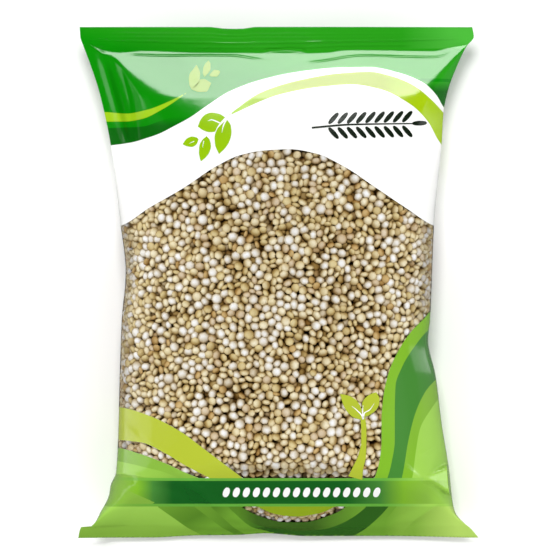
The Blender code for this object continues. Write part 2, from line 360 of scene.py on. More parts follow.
class PrintColours(PropertyGroup):
    """Ink colours of the pack."""

    white: colour_prop("White", "White under the header and on the back", "#fafaf8")
    seal: colour_prop("Seal", "Green of the top seal", "#289a18")
    seal_light: colour_prop("Light seal", "Lighter green at the seal's right end", "#48b038")
    header: colour_prop("Header", "Bright green of the header", "#0a8906")
    # Painted shade low in the header and on the fold at its right end
    header_deep: colour_prop("Header painted shade", "Deep green low in the header", "#0a630c")
    lime: colour_prop("Lime", "Lime of the swoosh and the start of the arc", "#9bc61a")
    arc: colour_prop("Arc", "Yellowish lime of the arc", "#a2c40c")
    arc_crown: colour_prop("Arc crown", "Duller lime at the crown of the arc", "#98ac0a")
    leaf: colour_prop("Leaf", "Lime of the leaves", "#92c008")
    pale_leaf: colour_prop("Pale leaf", "Lime of the small sprig in the header", "#86a908")
    lime_band: colour_prop("Lime band", "Yellowish lime of the band across the window", "#acba34")
    olive: colour_prop("Olive", "Olive lime under the label band", "#8ca41b")
    green: colour_prop("Green", "Green of the lower pack", "#82b03e")
    bright_green: colour_prop("Bright green", "Brighter green of the lower pack", "#9bcb52")
    # Painted light on the bottom right corner past its crease
    corner_green: colour_prop("Corner green", "Lightest green, in the bottom corners", "#b8dc68")
    # The middle and low greens serve both the print and the painted shade on the facets.
    mid_green: colour_prop("Middle green", "Middle green of the lower pack", "#6c9f30")
    low_green: colour_prop("Low green", "Darker green at the bottom seal", "#558424")
    light_band: colour_prop("Light band", "Light green of the curved band", "#7cb22b")
    dark_band: colour_prop("Dark band", "Dark green of the curved band", "#448434")
    light_crescent: colour_prop("Light crescent", "Green of the crescent by the window", "#3c611e")
    dark_crescent: colour_prop("Dark crescent", "Dark green of the outer crescent", "#2f601d")
    label: colour_prop("Label", "Dark green of the label band", "#16601f")
    label_line: colour_prop("Label line", "Bright line above and below the label band", "#62aa3c")
    emblem: colour_prop("Emblem", "Near-black green of the ear of grain", "#142013")


class SeedSettings(PropertyGroup):
    """Size, number and colours of the seeds."""

    width: FloatProperty(
        name="Width", description="Width of a seed's disc", default=2.3 * MM, unit="LENGTH"
    )
    thickness: FloatProperty(
        name="Thickness", description="Thickness of a seed", default=1.42 * MM, unit="LENGTH"
    )
    depth: FloatProperty(
        name="Depth", description="Depth of the loose seeds", default=4.4 * MM, unit="LENGTH"
    )
    share: FloatProperty(
        name="Share", description="Share of the space filled", default=0.65, min=0.1, max=0.8
    )
    draw: IntProperty(name="Draw", description="Seed of the random draw", default=7)
    chalky: colour_prop("Chalky", "Chalky white seeds", "#f6f7fc")
    ivory: colour_prop("Ivory", "Ivory seeds", "#f3ecd4")
    cream: colour_prop("Cream", "Cream seeds", "#eadfbd")
    straw: colour_prop("Straw", "Straw coloured seeds", "#dfd0a2")
    rosy: colour_prop("Rosy", "Faintly rosy seeds", "#dfd0b9")
    tan: colour_prop("Tan", "Tan seeds", "#d0b480")


class StageSettings(PropertyGroup):
    """Camera, light and floor."""

    camera_height: FloatProperty(
        name="Camera height", description="Height of the camera", default=3.0, unit="LENGTH"
    )
    view_width: FloatProperty(
        name="View width", description="Width of the view", default=0.14, unit="LENGTH"
    )
    key: FloatProperty(name="Key", description="Power of the main light, in watts", default=28.5)
    fill: FloatProperty(name="Fill", description="Brightness of the surroundings", default=0.31)
    floor: colour_prop("Floor", "Colour of the floor", "#fcfcfb")


SETTINGS = {
    "quinoa_print": PrintColours,
    "quinoa_seeds": SeedSettings,
    "quinoa_stage": StageSettings,
}


def smooth_step(low, high, value):
    share = np.clip((value - low) / (high - low), 0.0, 1.0)
    return share * share * (3 - 2 * share)


def smooth_line(stations, place):
    """Value at a place on the smooth line through (place, value) stations, level past its ends."""
    places, values = np.array(sorted(stations)).T
    steps = np.diff(places)
    slopes = np.diff(values) / steps
    before, after = slopes[:-1], slopes[1:]
    bends = before * after
    total = np.where(bends > 0, before + after, 1.0)
    inner = np.where(bends > 0, 2 * bends / total, 0.0)
    tangents = np.concatenate([slopes[:1], inner, slopes[-1:]])
    place = np.clip(place, places[0], places[-1])
    spot = np.clip(np.searchsorted(places, place, side="right") - 1, 0, len(steps) - 1)
    step = steps[spot]
    share = (place - places[spot]) / step
    square, cube = share**2, share**3
    return (
        values[spot] * (2 * cube - 3 * square + 1)
        + tangents[spot] * step * (cube - 2 * square + share)
        + values[spot + 1] * (3 * square - 2 * cube)
        + tangents[spot + 1] * step * (cube - square)
    )


def side_reach(y, side):
    """Reach of the outline at y to the left (side -1) or the right (side 1)."""
    column = 1 if side < 0 else 2
    return smooth_line([(station[0], station[column]) for station in SIDES], y)


def reach_at(x, y):
    return np.where(x < 0, side_reach(y, -1), side_reach(y, 1))


def parting_height(across, y):
    """Height of the surface that the film's front and back leave, at the share across, -1 to 1."""
    fall = smooth_step(TOP_SEAL_LINE, LEVEL_TO, y)
    upper = TOP_FIN_HEIGHT + (SIDE_HEIGHT - TOP_FIN_HEIGHT) * fall
    fall = smooth_step(LEVEL_FROM, BOTTOM_SEAL_LINE, y)
    lower = SIDE_HEIGHT + (BOTTOM_FIN_HEIGHT - SIDE_HEIGHT) * fall
    beyond = np.clip((BOTTOM_SEAL_LINE - y) / BOTTOM_FIN, 0.0, 1.0)
    height = np.where(y > 0, upper, lower) + (BOTTOM_EDGE_HEIGHT - BOTTOM_FIN_HEIGHT) * beyond
    near_top = smooth_step(TOP_SAG_FROM, TOP_SEAL_LINE, y)
    near_bottom = smooth_step(BOTTOM_CURL_FROM, BOTTOM_SEAL_LINE, y)
    sag = TOP_WAVE * np.sin(TOP_WAVE_SPREAD * across + TOP_WAVE_START) - TOP_SAG * across**2
    curl = CORNER_CURL * smooth_step(CORNER_CURL_FROM, -1.0, across)
    curl = curl + BOTTOM_WAVE * np.cos(BOTTOM_WAVE_SPREAD * across)
    return height + near_top * sag + near_bottom * curl


def least_of(*heights):
    """A rounded minimum of heights."""
    total = sum(np.maximum(height, 1e-4) ** -FOLD_SHARPNESS for height in heights)
    return total ** (-1 / FOLD_SHARPNESS)


def side_profile(across, y, left_power, roundness):
    """Share of the full thickness across the pack, from 0 at a side to 1 in the middle."""
    fullness = smooth_step(FULL_TO, FULL_FROM, y)
    power = np.where(across < 0, left_power, RIGHT_POWER)
    power = power + (FULL_POWER - power) * fullness
    root = 1 + (roundness - 1) * np.maximum(fullness, LEAST_FULLNESS)
    return np.clip(1 - np.abs(across) ** power, 0.0, 1.0) ** (1 / root)


def front_profile(across, y):
    """The same for the front, drawn in at the top left."""
    profile = side_profile(across, y, FULL_POWER, FRONT_ROUNDNESS)
    drawn = smooth_step(FULL_FROM, FULL_TO, y) * (across < 0)
    return profile + (smooth_line(LEFT_PROFILE, across) - profile) * drawn


def fin_thickness(y):
    """Half the thickness of a seal, which comes to nothing at its cut edge."""
    return FIN_THICKNESS / 2 * smooth_step(TOP_EDGE, TOP_EDGE - FIN_TAPER, np.abs(y))


def slope_rise(distance, degrees):
    return np.maximum(distance, 0.0) * math.tan(math.radians(degrees))


def fold_relief(folds, x, y):
    """Height that the folds add to the front at x, y."""
    relief = np.zeros_like(x)
    for x0, y0, x1, y1, width, height in folds:
        run_x, run_y = x1 - x0, y1 - y0
        length = math.hypot(run_x, run_y)
        along = ((x - x0) * run_x + (y - y0) * run_y) / length**2
        aside = ((x - x0) * run_y - (y - y0) * run_x) / length
        ends = smooth_step(*FOLD_START, along) * smooth_step(*FOLD_END, along)
        relief += height * ends * np.exp(-((aside / width) ** 2))
    return relief


def crease_relief(creases, x, y):
    """Height that thin creases across the film add at x, y."""
    relief = np.zeros_like(x)
    for points, width, height in creases:
        aside = y - smooth_line(points, x)
        fade = CREASE_FADE * (points[-1][0] - points[0][0])
        ends = smooth_step(points[0][0], points[0][0] + fade, x)
        ends = ends * smooth_step(points[-1][0], points[-1][0] - fade, x)
        relief += height * ends * np.exp(-((aside / width) ** 2))
    return relief


def seal_pleats(across, y, start):
    """Small pleats that fan out from both seals, where the flat film narrows to the round pack."""
    pleats = np.zeros_like(across)
    for off, (count, depth, fade) in (
        (TOP_SEAL_LINE - y, TOP_PLEATS),
        (y - BOTTOM_SEAL_LINE, BOTTOM_PLEATS),
    ):
        off = np.maximum(off, 0.0)
        rise = 1 - np.exp(-off / PLEAT_RISE)
        swing = PLEAT_SWING * np.sin(PLEAT_SWING_SPREAD * across)
        pleats += depth * rise * np.exp(-off / fade) * np.sin(count * across + start + swing)
    return pleats


def inside_corners(corners, x, y):
    """Distance inside a triangle, negative outside it, whichever way its corners run."""
    distance = np.full(np.shape(x), np.inf)
    for i, (x0, y0) in enumerate(corners):
        x1, y1 = corners[(i + 1) % len(corners)]
        x2, y2 = corners[(i + 2) % len(corners)]
        length = math.hypot(x1 - x0, y1 - y0)
        side = ((x - x0) * (y1 - y0) - (y - y0) * (x1 - x0)) / length
        turn = (x2 - x0) * (y1 - y0) - (y2 - y0) * (x1 - x0)
        distance = np.minimum(distance, side * np.sign(turn))
    return distance


def press_facets(x, y, height):
    """Flattens the film to a plane inside each facet, which starts from its first corner."""
    for corners, slope, direction in FACETS:
        x0, y0 = corners[0]
        turn = math.radians(direction)
        fall = (x - x0) * math.cos(turn) + (y - y0) * math.sin(turn)
        start = plain_front(np.array([x0]), np.array([y0]))[0]
        plane = start - fall * math.tan(math.radians(slope))
        share = smooth_step(-FACET_EDGE, FACET_EDGE, inside_corners(corners, x, y))
        height = height + (plane - height) * share
    return height


def in_body(y):
    return (y < TOP_SEAL_LINE + RELIEF_REACH) & (y > BOTTOM_SEAL_LINE)


def plain_front(x, y):
    """Height of the front of the film without its facets, in millimetres."""
    across = np.clip(x / reach_at(x, y), -1.0, 1.0)
    parting = parting_height(across, y)
    off_top = smooth_line(SEAL_LINE, x) - y
    top = slope_rise(np.minimum(off_top, HEADER_LENGTH), HEADER_SLOPE)
    top += slope_rise(off_top - HEADER_LENGTH, FRONT_TOP_SLOPE)
    bottom = slope_rise(y - BOTTOM_SEAL_LINE, FRONT_BOTTOM_SLOPE)
    crown = PACK_HEIGHT - CROWN_FALL * (y - CROWN_PLACE) ** 2
    body = (crown - parting) * front_profile(across, y)
    fin = fin_thickness(y)
    thickness = least_of(top + fin, bottom + fin, body)
    relief = fold_relief(FOLDS, x, y) + seal_pleats(across, y, FRONT_PLEAT_START) + crumple(x, y)
    relief *= smooth_step(0.0, RELIEF_THICKNESS, thickness)
    relief += crease_relief(CREASES, x, y) + fold_relief(EDGE_FOLDS, x, y)
    relief *= 1 - np.abs(across) ** RELIEF_SIDE_POWER
    ribs = crease_relief(RIBS, x, y) * (1 - np.abs(across) ** RIB_SIDE_POWER)
    return parting + thickness + np.where(in_body(y), relief, 0.0) + ribs


def crumple(x, y):
    """Gentle unevenness of film that lies on loose seeds."""
    relief = np.zeros_like(x)
    for height, length, swing, swing_length, run, sway, sway_length in CRUMPLES:
        across = np.sin(x / length + swing * np.sin(y / swing_length))
        relief += height * (across * np.sin(y / run + sway * np.sin(x / sway_length)))
    return relief * smooth_step(*CRUMPLE_FADE, y)


def front_height(across, y):
    """Height of the front of the film, in millimetres."""
    x = across * reach_at(across, y)
    edge = smooth_step(1.0, FACET_SIDE_MARGIN, np.abs(across))
    height = plain_front(x, y)
    return height + (press_facets(x, y, height) - height) * edge


def back_height(across, y):
    """Height of the back of the film, which lies flat."""
    parting = parting_height(across, y)
    top = slope_rise(TOP_SEAL_LINE - y, BACK_TOP_SLOPE)
    bottom = slope_rise(y - BOTTOM_SEAL_LINE, BACK_BOTTOM_SLOPE)
    body = (parting + BACK_FLATTENING) * side_profile(across, y, BACK_LEFT_POWER, BACK_ROUNDNESS)
    fin = fin_thickness(y)
    thickness = least_of(top + fin, bottom + fin, body)
    relief = seal_pleats(across, y, BACK_PLEAT_START)
    relief = relief * smooth_step(0.0, RELIEF_THICKNESS, thickness)
    height = parting - thickness - np.where(in_body(y), relief, 0.0)
    return np.maximum(height, FILM_FLOOR)


def film_point(x, y, lift=0.0):
    """Points on the front of the film above x, y in millimetres, lifted off it."""
    across = np.clip(x / reach_at(x, y), -1.0, 1.0)
    return np.stack([x, y, front_height(across, y) + lift], axis=-1)


def row_places():
    """Places of the rows of the film's mesh along the length, from the bottom edge to the top."""
    bottom = np.linspace(-TOP_EDGE, BOTTOM_SEAL_LINE - TAB_STEP, BOTTOM_FIN_ROWS + 1)
    body = np.linspace(BOTTOM_SEAL_LINE, HEADER_ROWS_FROM, BODY_ROWS + 1)
    header = np.linspace(HEADER_ROWS_FROM, TOP_SEAL_LINE, HEADER_ROWS + 1)[1:]
    top = np.linspace(TOP_SEAL_LINE, TOP_EDGE, TOP_FIN_ROWS + 1)[1:]
    return np.concatenate([bottom, body, header, top])


def between(value, low, high):
    """Distance inside the stretch from low to high, negative outside it."""
    return np.minimum(value - low, high - value)


def ends_of(edge):
    """Places of an edge's first and last points."""
    return edge[0][0], edge[-1][0]


def window_field(u, v):
    """Distance inside the clear window at u across and v along the flat film."""
    return np.minimum.reduce(
        [
            smooth_line(WINDOW_TOP, u) - v,
            v - smooth_line(LIME_TOP, u),
            v - (LABEL_TOP + LABEL_LINE),
            smooth_line(WINDOW_RIGHT, v) - u,
            WRAP - np.abs(u),
        ]
    )


def strip_field(u, v):
    """Distance inside the clear strip under the lime band."""
    inside = between(v, smooth_line(STRIP_BOTTOM, u), smooth_line(LIME_BOTTOM, u))
    return np.minimum.reduce([inside, v - (LABEL_TOP + LABEL_LINE), WRAP - np.abs(u)])


def sliver_field(u, v):
    """Distance inside the clear sliver under the label band."""
    inside = between(v, smooth_line(SLIVER_BOTTOM, u), smooth_line(OLIVE_BOTTOM, u))
    return np.minimum(inside, LABEL_BOTTOM - LABEL_LINE - v)


def clear_field(u, v):
    return np.maximum.reduce([window_field(u, v), strip_field(u, v), sliver_field(u, v)])


def lower_field(u, v):
    """Distance inside the green of the lower pack."""
    under = np.where(u < STRIP_END, smooth_line(STRIP_BOTTOM, u), LABEL_TOP + LABEL_LINE) - v
    return np.maximum(under, u - smooth_line(WINDOW_RIGHT, v))


def crescent_field(u, v, upper, lower):
    """Distance inside a crescent under the label band."""
    inside = between(v, smooth_line(lower, u), smooth_line(upper, u))
    ends = between(u, *ends_of(lower))
    return np.minimum.reduce([inside, ends, LABEL_BOTTOM - v])


def band_field(u, v, left, right):
    """Distance inside a band that runs up and down between two edges."""
    return between(u, smooth_line(left, v), smooth_line(right, v))


def under_label(u, v, left, right=None):
    """Distance inside the stretch below the label band between two slanting edges."""
    inside = u - smooth_line(left, v)
    if right is not None:
        inside = np.minimum(inside, smooth_line(right, v) - u)
    return np.minimum(inside, LABEL_BOTTOM - v)


def above_label(field, v):
    return np.minimum(field, v - LABEL_TOP)


# Each ink: (name, its field on the flat film, and its colour, or the places from 0 to 1 and
# colours of its gradient with the gradient's start and end in millimetres). A later ink covers
# the earlier ones. Some inks are painted shade or light on the film's folds and facets.
INKS = [
    (
        "green",
        lower_field,
        [(0.0, "green"), (0.45, "green"), (0.66, "bright_green"), (0.95, "green")],
        (0.0, -40.0),
        (0.0, -64.0),
    ),
    # Painted highlight: a streak of brighter green along the fold low on the left, fading into the lower
    # green
    (
        "streak",
        lambda u, v: between(v, smooth_line(HIGHLIGHT_STREAK_BOTTOM, u), smooth_line(HIGHLIGHT_STREAK_TOP, u)),
        [(0.0, "bright_green"), (1.0, "green")],
        (-40.0, -46.0),
        (-24.0, -48.0),
    ),
    # Painted shade: darker greens on the facet below the label band, darkest partway down
    (
        "facet",
        lambda u, v: under_label(u, v, SHADED_FACET_EDGES[0]),
        [(0.0, "mid_green"), (0.6, "low_green"), (1.0, "mid_green")],
        (-27.0, -55.0),
        (-22.0, -64.0),
    ),
    # Painted shade: a strip along the fold low on the left, darkening towards the bottom seal
    (
        "facet_strip",
        lambda u, v: under_label(u, v, SHADED_FACET_EDGES[1], SHADED_FACET_EDGES[2]),
        [(0.0, "mid_green"), (1.0, "low_green")],
        (-19.0, -55.0),
        (-12.0, -63.0),
    ),
    # Painted shade and light: darker at its slanting left edge, lighter towards the pack's right side
    (
        "right_shade",
        lambda u, v: under_label(u, v, RIGHT_SHADE_EDGE),
        [(0.0, "mid_green"), (0.2, "green"), (0.8, "bright_green")],
        (27.0, -58.0),
        (46.0, -60.0),
    ),
    # Painted light: the corner past the crease, lighter towards the pack's right side
    (
        "corner",
        lambda u, v: np.minimum(smooth_line(CORNER_EDGE, u) - v, u - CORNER_LEFT),
        [(0.0, "green"), (1.0, "corner_green")],
        (34.0, -60.0),
        (45.0, -60.0),
    ),
    (
        "rim_band",
        lambda u, v: above_label(u - smooth_line(DARK_BAND_RIGHT, v), v),
        "bright_green",
    ),
    (
        "inner_band",
        lambda u, v: above_label(band_field(u, v, DARK_BAND_RIGHT, RIM_BAND_RIGHT), v),
        [(0.0, "green"), (1.0, "light_band")],
        (33.0, -26.0),
        (33.0, -48.0),
    ),
    (
        "light_band",
        lambda u, v: above_label(band_field(u, v, WINDOW_RIGHT, LIGHT_BAND_RIGHT), v),
        "light_band",
    ),
    (
        "dark_band",
        lambda u, v: above_label(band_field(u, v, LIGHT_BAND_RIGHT, DARK_BAND_RIGHT), v),
        "dark_band",
    ),
    (
        "header",
        lambda u, v: v - smooth_line(HEADER_EDGE, u),
        [(0.0, "seal"), (0.25, "seal"), (0.6, "header"), (1.0, "header")],
        (0.0, 64.0),
        (-6.0, 40.0),
    ),
    (
        "seal_end",
        lambda u, v: np.minimum(v - SEAL_END_BOTTOM, u - SEAL_END_LEFT),
        [(0.0, "seal"), (1.0, "seal_light")],
        (31.0, 60.0),
        (43.0, 60.0),
    ),
    # Painted shade: deeper green low in the header
    (
        "header_shade",
        lambda u, v: between(v, smooth_line(HEADER_EDGE, u), smooth_line(HEADER_SHADE_EDGE, u)),
        [(0.0, "header"), (0.6, "header_deep"), (1.0, "header_deep")],
        (-30.0, 41.5),
        (-30.0, 37.5),
    ),
    # Painted shade on the fold at the header's right end: seal green darkening to deep green
    (
        "header_end",
        lambda u, v: np.minimum(
            between(v, smooth_line(HEADER_EDGE, u), HEADER_END_TOP), u - HEADER_END_LEFT
        ),
        [(0.0, "seal"), (0.4, "header_deep"), (1.0, "header_deep")],
        (38.0, 50.2),
        (38.0, 44.2),
    ),
    (
        "swoosh",
        lambda u, v: between(v, smooth_line(SWOOSH_BOTTOM, u), smooth_line(SWOOSH_TOP, u)),
        "lime",
    ),
    (
        "arc",
        lambda u, v: np.minimum(
            between(v, smooth_line(ARC_BOTTOM, u), smooth_line(ARC_TOP, u)), u - ARC_LEFT
        ),
        [(0.0, "lime"), (0.3, "arc_crown"), (0.76, "arc_crown"), (0.88, "arc"), (1.0, "arc")],
        (-11.0, 42.0),
        (38.0, 42.0),
    ),
    (
        "lime_band",
        lambda u, v: between(v, smooth_line(LIME_BOTTOM, u), smooth_line(LIME_TOP, u)),
        "lime_band",
    ),
    (
        "olive",
        lambda u, v: np.minimum(
            between(v, smooth_line(OLIVE_BOTTOM, u), LABEL_BOTTOM),
            between(u, *ends_of(OLIVE_BOTTOM)),
        ),
        "olive",
    ),
    (
        "dark_crescent",
        lambda u, v: crescent_field(u, v, SLIVER_BOTTOM, DARK_CRESCENT_BOTTOM),
        [(0.0, "low_green"), (0.2, "dark_crescent"), (1.0, "dark_crescent")],
        (-10.0, -58.0),
        (26.0, -56.0),
    ),
    (
        "light_crescent",
        lambda u, v: crescent_field(u, v, SLIVER_BOTTOM, LIGHT_CRESCENT_BOTTOM),
        [(0.0, "low_green"), (0.15, "light_crescent"), (0.6, "light_crescent"), (1.0, "mid_green")],
        (-10.0, -57.0),
        (21.0, -56.0),
    ),
    (
        "label_line",
        lambda u, v: between(v, LABEL_BOTTOM - LABEL_LINE, LABEL_TOP + LABEL_LINE),
        [(0.0, "green"), (0.2, "label_line"), (0.8, "label_line"), (0.92, "bright_green")],
        (-44.0, -52.0),
        (44.0, -52.0),
    ),
    (
        "label",
        lambda u, v: between(v, LABEL_BOTTOM, LABEL_TOP),
        [
            (0.0, "green"),
            (0.06, "green"),
            (0.1, "light_band"),
            (0.145, "dark_band"),
            (0.2, "label"),
            (0.69, "label"),
            (0.79, "dark_band"),
            (0.855, "light_band"),
            (0.92, "green"),
            (1.0, "bright_green"),
        ],
        (-44.0, -52.0),
        (44.0, -52.0),
    ),
    (
        "label_corner",
        lambda u, v: np.minimum(
            between(v, LABEL_BOTTOM, LABEL_TOP), smooth_line(LABEL_CORNER_EDGE, v) - u
        ),
        "green",
    ),
]


# The film's finish: waves of about 4 mm and 0.06 mm high, which show only in reflections, an even
# mottle of about 8 mm in the inks, and edges of print that blend over 0.08 mm. The clear film's
# IOR is far under the real 1.5, so that the seeds at the sides show through it as in the photo.
FILM_WAVES = 1 / (3.846 * MM)
FILM_WAVE_HEIGHT = 0.06 * MM
FILM_ROUGHNESS = 0.16
FILM_IOR = 1.5
CLEAR_FILM_IOR = 1.12
CLEAR_FILM_TINT = (0.99, 0.99, 0.985)
INK_MOTTLE = 1 / (8.333 * MM)
INK_EDGE = 0.04


def deselect_all():
    if bpy.context.mode != "OBJECT":
        bpy.ops.object.mode_set(mode="OBJECT")
    bpy.ops.object.select_all(action="DESELECT")


def select_only(obj):
    deselect_all()
    obj.select_set(True)
    bpy.context.view_layer.objects.active = obj


def add_grid(name, columns, rows):
    """A unit grid whose x and y, from 0 to 1, are the shares across and along a sheet."""
    deselect_all()
    bpy.ops.mesh.primitive_grid_add(x_subdivisions=columns, y_subdivisions=rows, size=1.0)
    sheet = bpy.context.object
    sheet.name = name
    sheet.data.name = name
    return sheet, mesh_points(sheet)[:, :2] + 0.5


def mesh_points(obj):
    points = np.empty(len(obj.data.vertices) * 3)
    obj.data.vertices.foreach_get("co", points)
    return points.reshape(-1, 3)


def set_points(obj, points):
    obj.data.vertices.foreach_set("co", np.asarray(points, float).ravel())
    obj.data.update()


def set_attribute(obj, name, values):
    layer = obj.data.attributes.get(name)
    if layer is None:
        layer = obj.data.attributes.new(name=name, type="FLOAT", domain="POINT")
    layer.data.foreach_set("value", np.asarray(values, float))


def get_attribute(obj, name):
    values = np.empty(len(obj.data.vertices))
    obj.data.attributes[name].data.foreach_get("value", values)
    return values


def dress(obj, material):
    """Shades a finished piece smooth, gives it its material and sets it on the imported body."""
    obj.data.materials.clear()
    obj.data.materials.append(material)
    obj.data.polygons.foreach_set("use_smooth", np.ones(len(obj.data.polygons), bool))
    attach(obj, "root")
    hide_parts("quinoa_pack")


def add_node(tree, kind, settings=None, links=None):
    """Adds a node with its settings and links.

    A setting is named for a socket or a property, or is "stops", the (place, colour) of a ramp.
    """
    node = tree.nodes.new(kind)
    for key, value in (settings or {}).items():
        if key == "stops":
            stops = node.color_ramp.elements
            for stop, (place, colour) in zip(stops, (value[0], value[-1])):
                stop.position, stop.color = place, with_alpha(colour)
            for place, colour in value[1:-1]:
                stops.new(place).color = with_alpha(colour)
        elif isinstance(key, int) or key in node.inputs:
            node.inputs[key].default_value = value
        else:
            setattr(node, key, value)
    for key, source in (links or {}).items():
        tree.links.new(source, node.inputs[key])
    return node


def new_material(name):
    material = bpy.data.materials.new(name)
    material.use_nodes = True
    material.node_tree.nodes.clear()
    return material, material.node_tree


def finish_material(tree, shader):
    add_node(tree, "ShaderNodeOutputMaterial", links={"Surface": shader})


def with_alpha(colour):
    return (*colour, 1.0)


def tinted(colour, share):
    """A colour made darker or paler by one share, or by one for each of its channels."""
    shares = share if isinstance(share, tuple) else (share,) * 3
    return [min(part * by, 1.0) for part, by in zip(colour, shares)]


def object_place(tree):
    return add_node(tree, "ShaderNodeTexCoord").outputs["Object"]


def ink_colour(tree, place, colours, inks, start=None, end=None):
    """Colour of an even ink, or of one whose gradient runs from start to end, in millimetres."""
    if start is None:
        node = add_node(tree, "ShaderNodeRGB")
        node.outputs[0].default_value = with_alpha(getattr(colours, inks))
        return node.outputs[0]
    run = Vector(end) - Vector(start)
    turned = add_node(
        tree,
        "ShaderNodeMapping",
        {
            "vector_type": "TEXTURE",
            "Location": (start[0] * MM, start[1] * MM, 0.0),
            "Rotation": (0.0, 0.0, math.atan2(run.y, run.x)),
            "Scale": (run.length * MM, run.length * MM, 1.0),
        },
        {"Vector": place},
    )
    share = add_node(tree, "ShaderNodeTexGradient", links={"Vector": turned.outputs[0]})
    stops = [(at, getattr(colours, ink)) for at, ink in inks]
    ramp = add_node(tree, "ShaderNodeValToRGB", {"stops": stops}, {"Fac": share.outputs["Fac"]})
    return ramp.outputs["Color"]


def film_bump(tree, place):
    """Fine unevenness of a stretched film, which breaks up its reflections."""
    waves = add_node(
        tree,
        "ShaderNodeTexNoise",
        {"Scale": FILM_WAVES, "Detail": 2.0, "Roughness": 0.45},
        {"Vector": place},
    )
    bump = add_node(
        tree,
        "ShaderNodeBump",
        {"Strength": 1.0, "Distance": FILM_WAVE_HEIGHT},
        {"Height": waves.outputs["Fac"]},
    )
    return bump.outputs["Normal"]


def printed_film_material(colours):
    """Polypropylene film printed on its inner side: even ink, with painted shade and light among it, under a
    smooth, glossy face.
    """
    material, tree = new_material("printed polypropylene film")
    place = object_place(tree)
    colour = ink_colour(tree, place, colours, "white")
    for name, _, *ink in INKS:
        field = add_node(tree, "ShaderNodeAttribute", {"attribute_name": "ink_" + name})
        inside = add_node(
            tree,
            "ShaderNodeMapRange",
            {"From Min": -INK_EDGE, "From Max": INK_EDGE},
            {"Value": field.outputs["Fac"]},
        )
        ink = ink_colour(tree, place, colours, *ink)
        links = {0: inside.outputs[0], 6: colour, 7: ink}
        colour = add_node(tree, "ShaderNodeMix", {"data_type": "RGBA"}, links).outputs[2]
    finish_material(tree, film_shader(tree, place, colour))
    return material


def film_shader(tree, place, colour):
    """The face of printed film: glossy over its colour."""
    shader = add_node(
        tree,
        "ShaderNodeBsdfPrincipled",
        {"Roughness": FILM_ROUGHNESS, "IOR": FILM_IOR},
        {"Base Color": colour, "Normal": film_bump(tree, place)},
    )
    return shader.outputs[0]


def clear_film_material():
    """Bare polypropylene film: clear, with faint sharp reflections that grow towards its edges."""
    material, tree = new_material("clear polypropylene film")
    normal = film_bump(tree, object_place(tree))
    edge = add_node(tree, "ShaderNodeFresnel", {"IOR": CLEAR_FILM_IOR}, {"Normal": normal})
    through = add_node(tree, "ShaderNodeBsdfTransparent", {"Color": with_alpha(CLEAR_FILM_TINT)})
    gloss = add_node(tree, "ShaderNodeBsdfGlossy", {"Roughness": 0.1}, {"Normal": normal})
    links = {0: edge.outputs[0], 1: through.outputs[0], 2: gloss.outputs[0]}
    mix = add_node(tree, "ShaderNodeMixShader", links=links)
    finish_material(tree, mix.outputs[0])
    return material


def plain_ink_material(name, colour):
    """One ink on the film's inner side: even colour under the film's gloss."""
    material, tree = new_material(name)
    place = object_place(tree)
    shade = add_node(
        tree, "ShaderNodeTexNoise", {"Scale": INK_MOTTLE, "Detail": 1.0}, {"Vector": place}
    )
    stops = [(0.0, tinted(colour, 0.93)), (1.0, tinted(colour, 1.06))]
    ramp = add_node(tree, "ShaderNodeValToRGB", {"stops": stops}, {"Fac": shade.outputs["Fac"]})
    finish_material(tree, film_shader(tree, place, ramp.outputs[0]))
    return material


def end_notch(x, y):
    """How far the film's cut ends fall short of the pack's full length at x, y."""
    top = smooth_line(TOP_NOTCH, x) * smooth_step(TOP_SEAL_LINE, TOP_EDGE, y)
    bottom = smooth_line(BOTTOM_NOTCH, x) * smooth_step(BOTTOM_SEAL_LINE, -TOP_EDGE, y)
    return bottom - top


ALMOST_AT_SIDE = 0.999999
WELD = 0.00001
WINDOW_SNAP = 0.02


def film_sheet(name, height, side, columns):
    """One side of the tube of film, shaped from a flat grid."""
    rows = row_places()
    sheet, shares = add_grid(name, columns, len(rows) - 1)
    y = np.interp(shares[:, 1], np.linspace(0.0, 1.0, len(rows)), rows)
    across = np.sin(np.pi / 2 * (2 * shares[:, 0] - 1))
    across = np.where(np.abs(across) > ALMOST_AT_SIDE, np.sign(across), across)
    reach = reach_at(across, y)
    x = across * reach
    z = height(across, y)
    z = np.where(np.abs(across) == 1.0, parting_height(across, y), z)
    set_points(sheet, np.stack([x, y + end_notch(x, y), z], axis=1) * MM)
    set_attribute(sheet, "film_u", x if side > 0 else np.sign(x) * (2 * reach - np.abs(x)))
    set_attribute(sheet, "film_v", y)
    if side < 0:
        sheet.data.flip_normals()
    return sheet


def film_tube():
    """The whole tube of film: front and back joined along the sides and the cut ends."""
    front = film_sheet("film_front", front_height, 1, FRONT_COLUMNS)
    back = film_sheet("film_back", back_height, -1, BACK_COLUMNS)
    deselect_all()
    back.select_set(True)
    front.select_set(True)
    bpy.context.view_layer.objects.active = front
    bpy.ops.object.join()
    bpy.ops.object.mode_set(mode="EDIT")
    bpy.ops.mesh.select_all(action="SELECT")
    bpy.ops.mesh.remove_doubles(threshold=WELD)
    bpy.ops.object.mode_set(mode="OBJECT")
    return front


